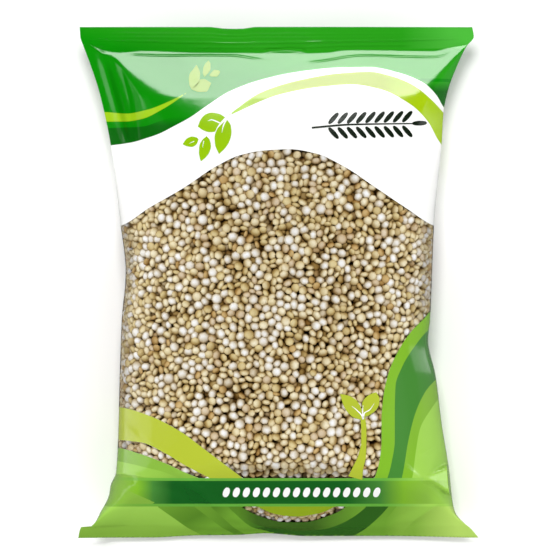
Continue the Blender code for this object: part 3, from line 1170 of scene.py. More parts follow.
def cut_along_window(film):
    """Cuts the film's faces along the edges of its clear parts, and numbers the clear faces 1."""
    shape = bmesh.new()
    shape.from_mesh(film.data)
    u_layer = shape.verts.layers.float["film_u"]
    v_layer = shape.verts.layers.float["film_v"]
    layer = shape.verts.layers.float.new("clear")
    shape.verts.ensure_lookup_table()
    u = np.array([vert[u_layer] for vert in shape.verts])
    v = np.array([vert[v_layer] for vert in shape.verts])
    field = clear_field(u, v)
    field[np.abs(field) < WINDOW_SNAP] = 0.0
    for vert, value in zip(shape.verts, field):
        vert[layer] = value
    for edge in list(shape.edges):
        first, second = edge.verts
        near, far = first[layer], second[layer]
        if near * far < 0:
            _, vert = bmesh.utils.edge_split(edge, first, near / (near - far))
            vert[layer] = 0.0
    for face in list(shape.faces):
        edge_verts = [vert for vert in face.verts if vert[layer] == 0.0]
        if len(edge_verts) == 2 and not shape.edges.get(edge_verts):
            bmesh.utils.face_split(face, *edge_verts)
    for face in shape.faces:
        face.material_index = int(sum(vert[layer] for vert in face.verts) > 0)
    shape.to_mesh(film.data)
    shape.free()


def separate_clear(film):
    """Parts the clear faces from the printed ones, as two pieces that meet edge to edge."""
    select_only(film)
    bpy.ops.object.material_slot_add()
    bpy.ops.object.material_slot_add()
    bpy.ops.object.mode_set(mode="EDIT")
    bpy.ops.mesh.separate(type="MATERIAL")
    bpy.ops.object.mode_set(mode="OBJECT")
    pieces = bpy.context.selected_objects
    pieces = sorted(pieces, key=lambda piece: get_attribute(piece, "clear").max())
    for piece, name in zip(pieces, ("printed_film", "clear_film")):
        piece.name = piece.data.name = name
        piece.data.polygons.foreach_set("material_index", np.zeros(len(piece.data.polygons), int))
    return pieces


class PACK_OT_film(Operator):
    """Builds the sealed tube of film: its printed part and its clear part"""

    bl_idname = "quinoa_pack.film"
    bl_label = "Film"

    def execute(self, context):
        film = film_tube()
        cut_along_window(film)
        film, clear = separate_clear(film)
        u, v = get_attribute(film, "film_u"), get_attribute(film, "film_v")
        for name, field, *_ in INKS:
            set_attribute(film, "ink_" + name, field(u, v))
        dress(film, printed_film_material(context.scene.quinoa_print))
        dress(clear, clear_film_material())
        return {"FINISHED"}


SEAM_WIDTH = 9.0
SEAM_THICKNESS = 0.24
SEAM_GAP = 0.06
SEAM_FACES = (8, 160)


class PACK_OT_seam(Operator):
    """Builds the seam on the back, a folded strip of film pressed flat"""

    bl_idname = "quinoa_pack.seam"
    bl_label = "Back seam"

    def execute(self, context):
        seam, shares = add_grid("back_seam", *SEAM_FACES)
        x = (shares[:, 0] - 0.5) * SEAM_WIDTH
        y = BOTTOM_SEAL_LINE + shares[:, 1] * (TOP_SEAL_LINE - BOTTOM_SEAL_LINE)
        z = back_height(x / reach_at(x, y), y) - SEAM_GAP
        set_points(seam, np.stack([x, y, z], axis=1) * MM)
        seam.data.flip_normals()
        solidify = seam.modifiers.new("Folded film", "SOLIDIFY")
        solidify.thickness = SEAM_THICKNESS * MM
        solidify.offset = 1.0
        select_only(seam)
        bpy.ops.object.modifier_apply(modifier=solidify.name)
        colours = context.scene.quinoa_print
        dress(seam, plain_ink_material("printed polypropylene seam", colours.white))
        return {"FINISHED"}


def edge_points(points, share):
    """Places at a share along the smooth line through points, as x and y."""
    x, y = np.array(points, float).T
    run = np.concatenate([[0.0], np.cumsum(np.hypot(np.diff(x), np.diff(y)))])
    run /= run[-1]
    return smooth_line(list(zip(run, x)), share), smooth_line(list(zip(run, y)), share)


INK_LIFT = 0.06
LINE_LIFT = 0.1
SHAPE_FACES = (8, 24)
LINE_FACES = (4, 20)
GRAIN_FACES = (6, 12)


def add_shape(one_edge, other_edge, faces=SHAPE_FACES, lift=INK_LIFT):
    """A flat printed shape between two edges that run the same way, laid on the film."""
    shape, shares = add_grid("shape", *faces)
    x0, y0 = edge_points(one_edge, shares[:, 1])
    x1, y1 = edge_points(other_edge, shares[:, 1])
    x = x0 + (x1 - x0) * shares[:, 0]
    y = y0 + (y1 - y0) * shares[:, 0]
    set_points(shape, film_point(x, y, lift) * MM)
    (ax, ay), (bx, by), (cx, cy) = one_edge[0], one_edge[-1], other_edge[len(other_edge) // 2]
    if (bx - ax) * (cy - ay) - (by - ay) * (cx - ax) > 0:
        shape.data.flip_normals()
    return shape


def add_leaf(base, one_side, other_side, tip):
    return add_shape([base, *one_side, tip], [base, *other_side, tip])


def add_line(points, widths, lift=LINE_LIFT):
    """A thin printed line along points, with its width at each."""
    x, y = np.array(points, float).T
    along_x, along_y = np.gradient(x), np.gradient(y)
    length = np.hypot(along_x, along_y)
    aside = np.stack([along_y / length, -along_x / length], axis=1)
    aside = aside * np.array(widths)[:, None] / 2
    middle = np.stack([x, y], axis=1)
    return add_shape((middle - aside).tolist(), (middle + aside).tolist(), LINE_FACES, lift)


def join_as(name, parts):
    """Joins parts into one piece of that name."""
    deselect_all()
    for part in parts:
        part.select_set(True)
    bpy.context.view_layer.objects.active = parts[0]
    if len(parts) > 1:
        bpy.ops.object.join()
    piece = bpy.context.object
    piece.name = piece.data.name = name
    return piece


BIG_LEAVES = [
    (
        (-13.3, 41.2), [(-14.8, 42.1), (-16.6, 42.4), (-18.1, 42.0), (-19.4, 40.6)],
        [(-14.5, 39.9), (-15.3, 38.7), (-15.9, 37.6), (-17.1, 37.5), (-18.8, 38.0)],
        (-20.1, 38.9),
    ),
    (
        (-12.8, 40.6), [(-11.9, 39.2), (-11.7, 37.5), (-12.1, 35.5), (-13.2, 33.6)],
        [(-14.1, 39.6), (-15.4, 38.0), (-15.9, 36.2), (-15.8, 34.5)], (-14.8, 32.0),
    ),
    (
        (-19.9, 35.7), [(-20.4, 36.2), (-21.5, 36.4), (-22.7, 36.0)],
        [(-20.4, 34.5), (-21.6, 33.8), (-22.9, 34.0)], (-23.9, 34.5),
    ),
    (
        (-17.9, 36.5), [(-17.1, 35.5), (-16.8, 34.1), (-17.1, 32.7), (-18.0, 31.3)],
        [(-19.0, 35.5), (-19.7, 34.0), (-19.8, 32.4), (-19.6, 31.1)], (-19.3, 30.2),
    ),
]
PALE_LEAVES = [
    (
        (-21.7, 48.3), [(-22.3, 49.6), (-22.4, 51.0), (-22.2, 52.2), (-21.3, 53.4)],
        [(-20.0, 49.6), (-19.7, 50.9), (-19.6, 52.2), (-19.9, 53.4)], (-20.5, 54.5),
    ),
    (
        (-21.7, 48.3), [(-20.4, 49.7), (-19.5, 50.8), (-18.6, 50.9), (-17.6, 50.4)],
        [(-20.8, 47.9), (-19.7, 47.6), (-18.0, 47.7), (-17.2, 48.9)], (-16.8, 49.9),
    ),
    (
        (-18.5, 51.4), [(-18.9, 52.4), (-18.8, 53.7), (-18.3, 54.8)],
        [(-17.5, 52.5), (-17.0, 53.5), (-17.0, 54.7)], (-17.5, 55.6),
    ),
    (
        (-17.3, 51.8), [(-16.7, 52.6), (-15.9, 53.2), (-15.0, 53.1)],
        [(-16.6, 51.5), (-15.5, 51.5), (-14.9, 52.0)], (-14.6, 52.7),
    ),
]
SEEDLING_LEAVES = [
    (
        (20.7, -34.0), [(19.0, -33.6), (17.4, -32.4), (16.2, -30.6)],
        [(20.7, -32.2), (20.3, -30.6), (19.0, -28.9), (17.0, -27.9)], (15.3, -27.6),
    ),
    (
        (21.1, -33.4), [(20.8, -31.6), (20.8, -30.1), (21.4, -28.8), (23.0, -27.6)],
        [(22.3, -33.0), (23.8, -32.0), (24.9, -30.4), (25.1, -28.9)], (24.3, -27.2),
    ),
]
SEEDLING_STEM = [(20.9, -33.2), (21.2, -36.5), (21.2, -39.5), (20.8, -43.0), (19.8, -46.0), (19.1, -48.6)]
STEM_WIDTHS = [1.2, 1.3, 1.3, 1.9, 2.6, 3.6]
VEINS = [
    ([(-17.6, 40.3), (-16.7, 40.6), (-15.7, 40.3), (-14.6, 39.8)], [0.05, 0.25, 0.3, 0.3]),
    ([(-13.0, 40.5), (-13.7, 39.2), (-14.1, 37.4)], [0.25, 0.3, 0.05]),
    ([(-22.2, 34.7), (-21.0, 35.2)], [0.05, 0.2]), ([(-18.6, 35.3), (-18.9, 33.7)], [0.2, 0.05]),
    ([(18.2, -30.6), (19.4, -31.6), (20.7, -33.0), (21.0, -33.9)], [0.05, 0.22, 0.3, 0.3]),
    ([(21.0, -30.4), (20.9, -32.2), (21.1, -33.9)], [0.05, 0.25, 0.3]),
    ([(23.8, -30.0), (22.6, -31.6), (21.3, -32.4), (21.1, -33.6)], [0.05, 0.22, 0.28, 0.3]),
]


class PACK_OT_leaves(Operator):
    """Prints the two sprigs of leaves and the seedling on the film"""

    bl_idname = "quinoa_pack.leaves"
    bl_label = "Leaves"

    def execute(self, context):
        colours = context.scene.quinoa_print
        stem = add_line(SEEDLING_STEM, STEM_WIDTHS, INK_LIFT)
        sprig = [add_leaf(*leaf) for leaf in BIG_LEAVES]
        pale_sprig = [add_leaf(*leaf) for leaf in PALE_LEAVES]
        seedling = [stem] + [add_leaf(*leaf) for leaf in SEEDLING_LEAVES]
        veins = [add_line(*vein) for vein in VEINS]
        pieces = (
            ("leaf_sprig", sprig, "leaf green film ink", colours.leaf),
            ("pale_sprig", pale_sprig, "pale leaf film ink", colours.pale_leaf),
            ("seedling", seedling, "lime film ink", colours.lime_band),
            ("leaf_veins", veins, "pale vein film ink", colours.white),
        )
        for name, parts, ink, colour in pieces:
            dress(join_as(name, parts), plain_ink_material(ink, colour))
        return {"FINISHED"}


def add_grain_mark(centre, angle, length, width):
    """A flat oval grain printed at a place, in millimetres."""
    left, right = [], []
    for turn in np.linspace(0.0, math.pi, 9):
        along, aside = -math.cos(turn) * length / 2, math.sin(turn) ** 0.8 * width / 2
        for side, points in ((1, left), (-1, right)):
            x = centre[0] + along * math.cos(angle) - side * aside * math.sin(angle)
            y = centre[1] + along * math.sin(angle) + side * aside * math.cos(angle)
            points.append((x, y))
    return add_shape(left, right, GRAIN_FACES)


# The ear of grain: its stem, then pairs of grains (first place, step, offset from the stem, angle,
# length and width), and the grain at its tip. The label's row of seeds: (first place across,
# step, how many, angle, length and width). All in millimetres and radians.
EAR_STEM = ([(8.3, 38.6), (18.0, 39.4), (34.5, 39.7)], [0.5, 0.45, 0.3])
EAR_PAIRS = 9
EAR_START = (13.7, 39.1)
EAR_STEP = (2.3, 0.06)
EAR_OFFSET = 1.85
EAR_ANGLE = 0.85
EAR_GRAIN = (3.7, 1.15)
EAR_TIP = ((35.2, 39.8), 0.05, 3.8, 1.2)
LABEL_ROW = (-13.0, 2.5, 16)
LABEL_GRAIN = (1.2, 2.6, 1.6)


class PACK_OT_grain_marks(Operator):
    """Prints an ear of grain on the white field and a row of seeds on the label band"""

    bl_idname = "quinoa_pack.grain_marks"
    bl_label = "Grain marks"

    def execute(self, context):
        colours = context.scene.quinoa_print
        parts = [add_line(*EAR_STEM)]
        for i in range(EAR_PAIRS):
            x, y = (place + step * i for place, step in zip(EAR_START, EAR_STEP))
            for side in (-1, 1):
                centre = (x, y + side * EAR_OFFSET)
                parts.append(add_grain_mark(centre, side * EAR_ANGLE, *EAR_GRAIN))
        parts.append(add_grain_mark(*EAR_TIP))
        ear = join_as("grain_ear", parts)
        dress(ear, plain_ink_material("dark green film ink", colours.emblem))
        first, step, count = LABEL_ROW
        middle = (LABEL_TOP + LABEL_BOTTOM) / 2
        row = [add_grain_mark((first + step * i, middle), *LABEL_GRAIN) for i in range(count)]
        marks = join_as("label_grains", row)
        dress(marks, plain_ink_material("white film ink", colours.white))
        return {"FINISHED"}


LEAST_DEPTH = 0.5


def film_surface(names):
    """Places, flat places and faces of the named pieces of film together."""
    points, faces, u, v = [], [], [], []
    start = 0
    for name in names:
        obj = bpy.data.objects[name]
        points.append(mesh_points(obj) / MM)
        u.append(get_attribute(obj, "film_u"))
        v.append(get_attribute(obj, "film_v"))
        faces += [[start + i for i in polygon.vertices] for polygon in obj.data.polygons]
        start += len(obj.data.vertices)
    return np.concatenate(points), np.concatenate(u), np.concatenate(v), faces


def scatter_under(points, faces, field, count, depth, rng):
    """Random places under the film near its clear parts, and the area of film that they are under."""
    corners = np.array([face[:3] for face in faces])
    a, b, c = (points[corners[:, i]] for i in range(3))
    cross = np.cross(b - a, c - a)
    area = np.linalg.norm(cross, axis=1)
    wanted = field[corners[:, 0]] > -depth
    weights = np.where(wanted, area, 0.0)
    picks = rng.choice(len(faces), size=count, p=weights / weights.sum())
    normals = cross[picks] / area[picks][:, None]
    along = rng.random((2, count, 1))
    spots = a[picks] + along[0] * (b - a)[picks] + along[1] * (c - b)[picks]
    return spots - normals * rng.uniform(LEAST_DEPTH, depth, (count, 1)), area[wanted].sum()


def close_pairs(places, reach):
    """Index pairs of the places that lie within reach of each other."""
    tree = kdtree.KDTree(len(places))
    for i, place in enumerate(places):
        tree.insert(place, i)
    tree.balance()
    pairs = [
        (i, j)
        for i, place in enumerate(places)
        for _, j, _ in tree.find_range(place, reach)
        if j > i
    ]
    return np.array(pairs).T


def unit(vectors):
    return vectors / np.linalg.norm(vectors, axis=-1, keepdims=True)


def seed_reach(axes, directions, scales):
    """Distance from a seed's middle to its face in a direction."""
    facing = np.sum(axes * directions, axis=1) ** 2
    return np.sqrt(scales[:, 0] ** 2 * (1 - facing) + scales[:, 2] ** 2 * facing)


# How seeds settle: rounds, how often neighbours are looked for again and how far in widths, how
# close they may come as a share of touching, and how much of an overlap each round takes away
SETTLE_ROUNDS = 28
LOOK_EVERY = 4
LOOK_REACH = 2.6
CLOSENESS = 0.93
PUSH = 0.35

# Gaps in millimetres that seeds keep from the film and the seals, and how far they may be moved
FILM_GAP = 0.1
FILM_TOUCH = 0.04
FILM_OVERLAP = 0.25
BOTTOM_GAP = 1.6
POINT_GAP = 0.08
MOST_LOWERING = 0.9


def settle(places, axes, scales, surface, depth):
    """Pushes overlapping seeds apart and keeps them in the layer under the film.

    Returns how deep each seed's middle lies, or less than 0 where it has no room.
    """
    for step in range(SETTLE_ROUNDS):
        if step % LOOK_EVERY == 0:
            first, second = close_pairs(places, LOOK_REACH * scales[:, 0].mean())
        gaps = places[second] - places[first]
        distance = np.linalg.norm(gaps, axis=1)
        ways = gaps / np.maximum(distance, 1e-6)[:, None]
        room = seed_reach(axes[first], ways, scales[first])
        room += seed_reach(axes[second], ways, scales[second])
        push = ways * (np.maximum(CLOSENESS * room - distance, 0.0) * PUSH)[:, None]
        np.add.at(places, first, -push)
        np.add.at(places, second, push)
        if step % 2 == 1:
            keep_under(places, axes, scales, surface, depth)
    return keep_under(places, axes, scales, surface, depth)


def keep_under(places, axes, scales, surface, depth):
    """Moves seeds that stick out of the film, or have sunk too deep, back into their layer."""
    places[:, 1] = np.clip(places[:, 1], BOTTOM_SEAL_LINE + BOTTOM_GAP, TOP_SEAL_LINE)
    found = [surface.find_nearest(place) for place in places]
    spots = np.array([item[0] for item in found])
    normals = np.array([item[1] for item in found])
    below = np.sum((spots - places) * normals, axis=1)
    least = seed_reach(axes, normals, scales) + FILM_GAP
    target = np.clip(below - FILM_TOUCH, least, depth)
    places += normals * (below - target)[:, None]
    again = np.array([surface.find_nearest(place)[3] for place in places])
    return np.where(again < least - FILM_OVERLAP, -1.0, target)


def film_room(places, turns, scales, points):
    """Least distance of each seed's points from the front, and from the back and the sides."""
    local = points[None] * scales[:, None, :]
    x, y, z = np.moveaxis(np.einsum("nij,nkj->nki", turns, local) + places[:, None, :], 2, 0)
    reach = reach_at(x, y)
    across = np.clip(x / reach, -1.0, 1.0)
    under = front_height(across, y) - z
    around = np.minimum(z - back_height(across, y), reach - np.abs(x))
    return under.min(axis=1), around.min(axis=1)


# One seed of unit half width and thickness: sides of its disc, height of its poles, and rings of
# (radius, height)
SEED_SIDES = 8
SEED_POLE = 0.97
SEED_RINGS = [(0.56, 0.9), (0.93, 0.5), (1.04, 0.0), (0.93, -0.5), (0.56, -0.9)]


def seed_shape():
    """Points and faces of one seed, closed at both poles."""
    sides = SEED_SIDES
    angles = np.linspace(0, 2 * np.pi, sides, endpoint=False)
    points = [(0.0, 0.0, SEED_POLE)]
    for radius, height in SEED_RINGS:
        points += [(radius * math.cos(t), radius * math.sin(t), height) for t in angles]
    points.append((0.0, 0.0, -SEED_POLE))
    last = len(points) - 1
    faces = [(0, 1 + i, 1 + (i + 1) % sides) for i in range(sides)]
    for ring in range(len(SEED_RINGS) - 1):
        start = 1 + ring * sides
        for i in range(sides):
            j = (i + 1) % sides
            faces.append((start + i, start + sides + i, start + j))
            faces.append((start + j, start + sides + i, start + sides + j))
    start = last - sides
    faces += [(start + (i + 1) % sides, start + i, last) for i in range(sides)]
    return np.array(points), np.array(faces)


def frames_for(axes, rng):
    """Rotation matrices that turn +Z to the axes, with a random turn about them."""
    side = unit(np.cross(axes, unit(rng.normal(size=axes.shape))))
    other = np.cross(axes, side)
    return np.stack([side, other, axes], axis=2)


# Painted shade for the shade that seeds cast on each other: (depth as a share of SHADE_DEPTH millimetres,
# tint)
SHADE_DEPTH = 3.2
SHADE_LEAN = 0.6
SHADE_BY_DEPTH = 0.6
SHADE_TINTS = [
    (0.02, (1.0, 1.0, 1.0)),
    (0.08, (0.87, 0.83, 0.73)),
    (0.15, (0.67, 0.58, 0.42)),
    (0.24, (0.46, 0.35, 0.19)),
    (0.36, (0.27, 0.175, 0.065)),
    (0.52, (0.15, 0.08, 0.02)),
    (1.0, (0.05, 0.025, 0.006)),
]


def seed_mesh(name, shape, places, turns, scales, tones, below, normals):
    """One mesh of many seeds, each a turned and scaled copy of a seed's shape.

    Its attribute "sunk", which sets the seeds' painted shade, is how deep each point lies below
    its seed's top, in millimetres, and more where that top lies deep under the film.
    """
    points, faces = shape
    count, size = len(places), len(points)
    local = points[None] * scales[:, None, :]
    offsets = np.einsum("nij,nkj->nki", turns, local)
    upwards = unit(SHADE_LEAN * normals + np.array([0.0, 0.0, 1.0]))
    rise = np.einsum("nki,ni->nk", offsets, upwards)
    top = rise.max(axis=1, keepdims=True)
    sunk = top - rise + SHADE_BY_DEPTH * (below[:, None] - top)
    world = offsets + places[:, None, :]
    mesh = bpy.data.meshes.new(name)
    mesh.vertices.add(count * size)
    mesh.vertices.foreach_set("co", (world * MM).ravel())
    corners = (faces[None] + (np.arange(count) * size)[:, None, None]).ravel()
    mesh.loops.add(len(corners))
    mesh.loops.foreach_set("vertex_index", corners)
    mesh.polygons.add(len(corners) // 3)
    mesh.polygons.foreach_set("loop_start", np.arange(0, len(corners), 3))
    mesh.update(calc_edges=True)
    piece = bpy.data.objects.new(name, mesh)
    bpy.context.scene.collection.objects.link(piece)
    set_attribute(piece, "tone", np.repeat(tones, size))
    set_attribute(piece, "sunk", sunk.ravel())
    return piece


DULLEST_TONE = (0.92, 0.88, 0.81)
BRIGHTEST_TONE = 1.04


def seed_material(name, colour):
    """Dry seed coat, matt and a little waxy, with painted shade: pale on top, golden brown in the gaps."""
    material, tree = new_material(name)
    tone = add_node(tree, "ShaderNodeAttribute", {"attribute_name": "tone"})
    stops = [(0.0, tinted(colour, DULLEST_TONE)), (1.0, tinted(colour, BRIGHTEST_TONE))]
    ramp = add_node(tree, "ShaderNodeValToRGB", {"stops": stops}, {"Fac": tone.outputs["Fac"]})
    sunk = add_node(tree, "ShaderNodeAttribute", {"attribute_name": "sunk"})
    depth = add_node(
        tree,
        "ShaderNodeMapRange",
        {"From Min": 0.0, "From Max": SHADE_DEPTH},
        {"Value": sunk.outputs["Fac"]},
    )
    # Painted shade: darker and browner the deeper a point lies below its seed's top and the film
    shade = add_node(tree, "ShaderNodeValToRGB", {"stops": SHADE_TINTS}, {"Fac": depth.outputs[0]})
    shaded = add_node(
        tree,
        "ShaderNodeMix",
        {"data_type": "RGBA", "blend_type": "MULTIPLY", 0: 1.0},
        {6: ramp.outputs[0], 7: shade.outputs[0]},
    )
    shader = add_node(
        tree,
        "ShaderNodeBsdfPrincipled",
        {"Roughness": 0.42, "IOR": 1.45},
        {"Base Color": shaded.outputs[2]},
    )
    finish_material(tree, shader.outputs[0])
    return material


# Each kind of seed: (name, share of the seeds, width and thickness against the usual)
SEED_KINDS = [
    ("chalky", 0.26, 1.13, 1.36),
    ("ivory", 0.2, 1.04, 1.1),
    ("cream", 0.24, 1.0, 0.88),
    ("straw", 0.16, 0.98, 0.84),
    ("rosy", 0.08, 1.02, 1.1),
    ("tan", 0.06, 0.95, 0.8),
]

# How seeds differ: tilt towards the film, then spread and limits of their size and of their form
SEED_TILT = 0.35
SIZE_SPREAD = (0.09, 0.8, 1.22)
FORM_SPREAD = (0.035, 0.93, 1.07)
SEAL_GAP = 1.7


class PACK_OT_seeds(Operator):
    """Fills the layer under the clear film with seeds, one piece for each colour of seed"""

    bl_idname = "quinoa_pack.seeds"
    bl_label = "Seeds"

    def execute(self, context):
        settings = context.scene.quinoa_seeds
        rng = np.random.default_rng(settings.draw)
        points, u, v, faces = film_surface(["printed_film", "clear_film"])
        surface = BVHTree.FromPolygons(points.tolist(), faces)
        field = clear_field(u, v)
        half = np.array([settings.width, settings.width, settings.thickness]) / MM / 2
        depth = settings.depth / MM
        room = scatter_under(points, faces, field, 10, depth, rng)[1] * depth
        seed_volume = 4 / 3 * math.pi * half.prod()
        count = int(room * settings.share / seed_volume)
        places, _ = scatter_under(points, faces, field, count, depth, rng)
        normals = np.array([surface.find_nearest(place)[1] for place in places])
        axes = unit(SEED_TILT * normals + unit(rng.normal(size=places.shape)))
        names, shares, widths, heights = zip(*SEED_KINDS)
        kinds = rng.choice(len(names), size=count, p=np.array(shares) / sum(shares))
        spread, *limits = SIZE_SPREAD
        sizes = rng.normal(1.0, spread, (count, 1)).clip(*limits)
        form = np.stack([widths, widths, heights], axis=1)[kinds]
        spread, *limits = FORM_SPREAD
        scales = half * form * sizes * rng.normal(1.0, spread, (count, 3)).clip(*limits)
        below = settle(places, axes, scales, surface, depth)
        turns, tones = frames_for(axes, rng), rng.random(count)
        shape = seed_shape()
        kept = (below > 0.0) & (places[:, 1] > BOTTOM_SEAL_LINE + SEAL_GAP)
        under, _ = film_room(places, turns, scales, shape[0])
        places[:, 2] -= np.clip(POINT_GAP - under, 0.0, MOST_LOWERING)
        under, around = film_room(places, turns, scales, shape[0])
        kept &= (under > 0.0) & (around > 0.0)
        normals = np.array([surface.find_nearest(place)[1] for place in places])
        values = (places, turns, scales, tones, below, normals)
        for i, name in enumerate(names):
            chosen = kept & (kinds == i)
            piece = seed_mesh(name + "_seeds", shape, *(value[chosen] for value in values))
            coat = seed_material(name + " quinoa seed coat", getattr(settings, name))
            dress(piece, coat)
        return {"FINISHED"}


class PACK_OT_seed_bed(Operator):
    """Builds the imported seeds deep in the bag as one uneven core"""

    bl_idname = "quinoa_pack.seed_bed"
    bl_label = "Seed bed"

    def execute(self, context):
        settings = context.scene.quinoa_seeds
        bed = film_tube_core(settings.depth / MM)
        dress(bed, seed_bed_material(settings.tan))
        return {"FINISHED"}


# The core of packed seeds: faces across and along each half, how much more it is drawn in at its
# ends than at its sides, and the bumps' number for each millimetre and height
CORE_FACES = (90, 130)
CORE_END_INSET = 1.6
CORE_BUMPS = 0.9
CORE_BUMP_HEIGHT = 0.5
CORE_BUMP_OFFSET = 7.0


def film_tube_core(depth):
    """A closed core inside the film, a given depth under it, with bumps of a seed's size."""
    halves = []
    for name, height, side in (("seed_bed", front_height, 1), ("bed_back", back_height, -1)):
        sheet, shares = add_grid(name, *CORE_FACES)
        across = np.sin(np.pi / 2 * (2 * shares[:, 0] - 1))
        y = BOTTOM_SEAL_LINE + shares[:, 1] * (TOP_SEAL_LINE - BOTTOM_SEAL_LINE)
        inset = 1 - depth / reach_at(across, y)
        y_inner = y * (1 - CORE_END_INSET * depth / TOP_EDGE)
        x = across * reach_at(across, y_inner) * inset
        middle = parting_height(across, y_inner)
        z = height(across, y_inner)
        layer = side * CORE_BUMP_OFFSET
        spots = zip(x * CORE_BUMPS, y_inner * CORE_BUMPS)
        bumps = np.array([noise.noise((along, up, layer)) for along, up in spots])
        room = np.maximum(np.abs(z - middle) - depth, 0.0)
        z = middle + side * (room + CORE_BUMP_HEIGHT * bumps * (room > 1.0))
        set_points(sheet, np.stack([x, y_inner, z], axis=1) * MM)
        if side < 0:
            sheet.data.flip_normals()
        halves.append(sheet)
    return join_as("seed_bed", halves)


SEED_CELLS = 1 / (2.0833 * MM)


def seed_bed_material(colour):
    """Seeds packed behind the loose ones: tan with painted shade, darkest at the edges of seed-sized cells
    where the gaps lie.
    """
    material, tree = new_material("packed quinoa seed")
    cells = add_node(
        tree, "ShaderNodeTexVoronoi", {"Scale": SEED_CELLS}, {"Vector": object_place(tree)}
    )
    # Painted shade: the tan darkened, and darker and browner towards each cell's edge
    stops = [(0.0, tinted(colour, 0.62)), (1.0, tinted(colour, (0.2, 0.15, 0.1)))]
    ramp = add_node(
        tree, "ShaderNodeValToRGB", {"stops": stops}, {"Fac": cells.outputs["Distance"]}
    )
    shader = add_node(
        tree, "ShaderNodeBsdfPrincipled", {"Roughness": 0.8}, {"Base Color": ramp.outputs[0]}
    )
    finish_material(tree, shader.outputs[0])
    return material


# Places in metres, sizes in metres and powers in watts
STAGE_TARGET = (0.0, 0.0, 0.02)
KEY_LIGHT = ((-0.08, 0.74, 2.05), (0.5, 0.5))
FILL_SIZE = (0.8, 0.6)
FLOOR_SIZE = 12.0
CAMERA_PLACE = (0.375 * MM, 0.69 * MM)
SENSOR_WIDTH = 36.0


def add_light(name, place, target, size, power, gloss=False):
    """An area light that the camera doesn't see. A gloss light is seen in reflections alone."""
    data = bpy.data.lights.new(name, "AREA")
    data.shape = "RECTANGLE"
    data.size, data.size_y = size
    data.energy = power
    light = bpy.data.objects.new(name, data)
    light.location = place
    way = Vector(target) - Vector(place)
    light.rotation_euler = way.to_track_quat("-Z", "Y").to_euler()
    light.visible_camera = False
    light.visible_glossy = gloss
    light.visible_diffuse = not gloss
    light.visible_transmission = False
    bpy.context.scene.collection.objects.link(light)


# Low panels that light the slopes of the pack: (name, place, power in watts)
FILL_LIGHTS = [
    ("left fill", (-1.5, 0.0, 0.8), 9.0),
    ("right fill", (1.5, 0.0, 0.8), 9.0),
    ("lower fill", (0.0, -1.5, 0.65), 10.0),
]

# Lights seen only in the film's gloss: (name, place, target, size, power in watts)
GLOSS_LIGHTS = [
    ("header gloss", (0.0, 0.62, 0.145), (0.0, 0.02, 0.02), (1.3, 0.15), 6.4),
    ("left gloss", (-0.5, -0.107, -0.15), (0.0, -0.107, -0.15), (0.1, 0.535), 0.19),
    ("left streak", (-0.5, -0.015, 0.09), (0.0, -0.015, 0.09), (0.08, 0.2), 0.09),
    ("right gloss", (0.5, 0.11, -0.26), (0.0, 0.11, -0.26), (0.1, 0.58), 0.22),
    ("corner gloss", (0.5, -0.216, 0.166), (0.0, 0.02, 0.02), (0.06, 0.05), 0.055),
    ("left edge gloss", (-0.13, -0.02, -0.1), (0.0, 0.02, 0.02), (0.2, 0.3), 0.045),
    ("right edge gloss", (0.13, -0.02, -0.1), (0.0, 0.02, 0.02), (0.2, 0.3), 0.035),
]


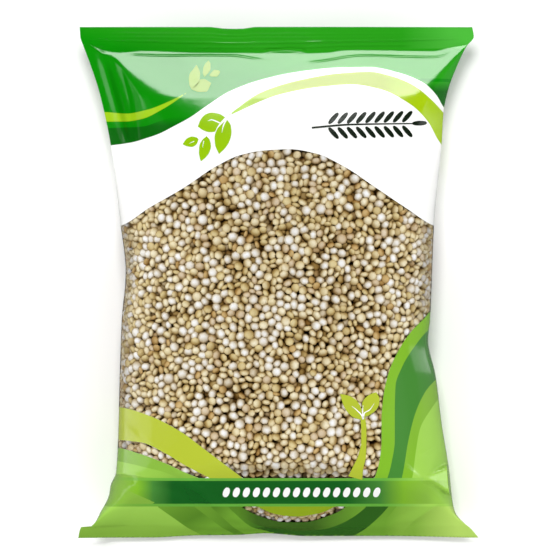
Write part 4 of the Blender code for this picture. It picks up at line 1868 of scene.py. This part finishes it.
class PACK_OT_stage(Operator):
    """Sets the floor, the lights and the camera that looks straight down"""

    bl_idname = "quinoa_pack.stage"
    bl_label = "Stage"

    def execute(self, context):
        settings = context.scene.quinoa_stage
        deselect_all()
        bpy.ops.mesh.primitive_plane_add(size=FLOOR_SIZE)
        floor = context.object
        floor.name = "floor"
        floor.data.materials.append(self.floor_material(settings.floor))
        floor.visible_glossy = False
        place, size = KEY_LIGHT
        add_light("key", place, STAGE_TARGET, size, settings.key)
        for name, place, power in FILL_LIGHTS:
            add_light(name, place, STAGE_TARGET, FILL_SIZE, power)
        for name, place, target, size, power in GLOSS_LIGHTS:
            add_light(name, place, target, size, power, gloss=True)
        self.add_camera(settings)
        self.set_world(context.scene, settings)
        return {"FINISHED"}

    def floor_material(self, colour):
        """Matt paper sweep: pale and even, so that only the contact shadow shows."""
        material, tree = new_material("matt paper")
        grain = add_node(
            tree, "ShaderNodeTexNoise", {"Scale": 1 / (25.0 * MM)}, {"Vector": object_place(tree)}
        )
        stops = [(0.0, tinted(colour, 0.995)), (1.0, colour)]
        ramp = add_node(tree, "ShaderNodeValToRGB", {"stops": stops}, {"Fac": grain.outputs["Fac"]})
        shader = add_node(
            tree,
            "ShaderNodeBsdfPrincipled",
            {"Roughness": 0.9, "Specular IOR Level": 0.1},
            {"Base Color": ramp.outputs[0]},
        )
        finish_material(tree, shader.outputs[0])
        return material

    def add_camera(self, settings):
        data = bpy.data.cameras.new("camera")
        camera = bpy.data.objects.new("camera", data)
        camera.location = (*CAMERA_PLACE, settings.camera_height)
        data.sensor_width = SENSOR_WIDTH
        distance = settings.camera_height - SIDE_HEIGHT * MM
        data.lens = data.sensor_width * distance / settings.view_width
        bpy.context.scene.collection.objects.link(camera)
        bpy.context.scene.camera = camera

    def set_world(self, scene, settings):
        world = bpy.data.worlds.new("studio")
        world.use_nodes = True
        world.cycles_visibility.glossy = False
        background = world.node_tree.nodes["Background"]
        background.inputs["Color"].default_value = (1.0, 1.0, 1.0, 1.0)
        background.inputs["Strength"].default_value = settings.fill
        scene.world = world
        scene.view_settings.view_transform = "Standard"


class PACK_PT_panel(Panel):
    """Lists the steps that build the pack"""

    bl_label = "Quinoa pack"
    bl_idname = "PACK_PT_quinoa"
    bl_space_type = "VIEW_3D"
    bl_region_type = "UI"
    bl_category = "Quinoa pack"

    def draw(self, context):
        for operator in OPERATORS:
            self.layout.operator(operator.bl_idname)
        for group in SETTINGS:
            settings = getattr(context.scene, group)
            for key in settings.bl_rna.properties.keys():
                if key not in ("rna_type", "name"):
                    self.layout.prop(settings, key)


OPERATORS = (
    PACK_OT_film,
    PACK_OT_seam,
    PACK_OT_leaves,
    PACK_OT_grain_marks,
    PACK_OT_seeds,
    PACK_OT_seed_bed,
    PACK_OT_stage,
)


def register():
    for group in SETTINGS.values():
        bpy.utils.register_class(group)
    for name, group in SETTINGS.items():
        setattr(bpy.types.Scene, name, PointerProperty(type=group))
    for item in (*OPERATORS, PACK_PT_panel):
        bpy.utils.register_class(item)


def unregister():
    for item in reversed((*OPERATORS, PACK_PT_panel)):
        bpy.utils.unregister_class(item)
    for name in SETTINGS:
        delattr(bpy.types.Scene, name)
    for group in SETTINGS.values():
        bpy.utils.unregister_class(group)


def main():
    register()
    for operator in OPERATORS:
        group, name = operator.bl_idname.split(".")
        getattr(getattr(bpy.ops, group), name)()


if __name__ == "__main__":
    main()
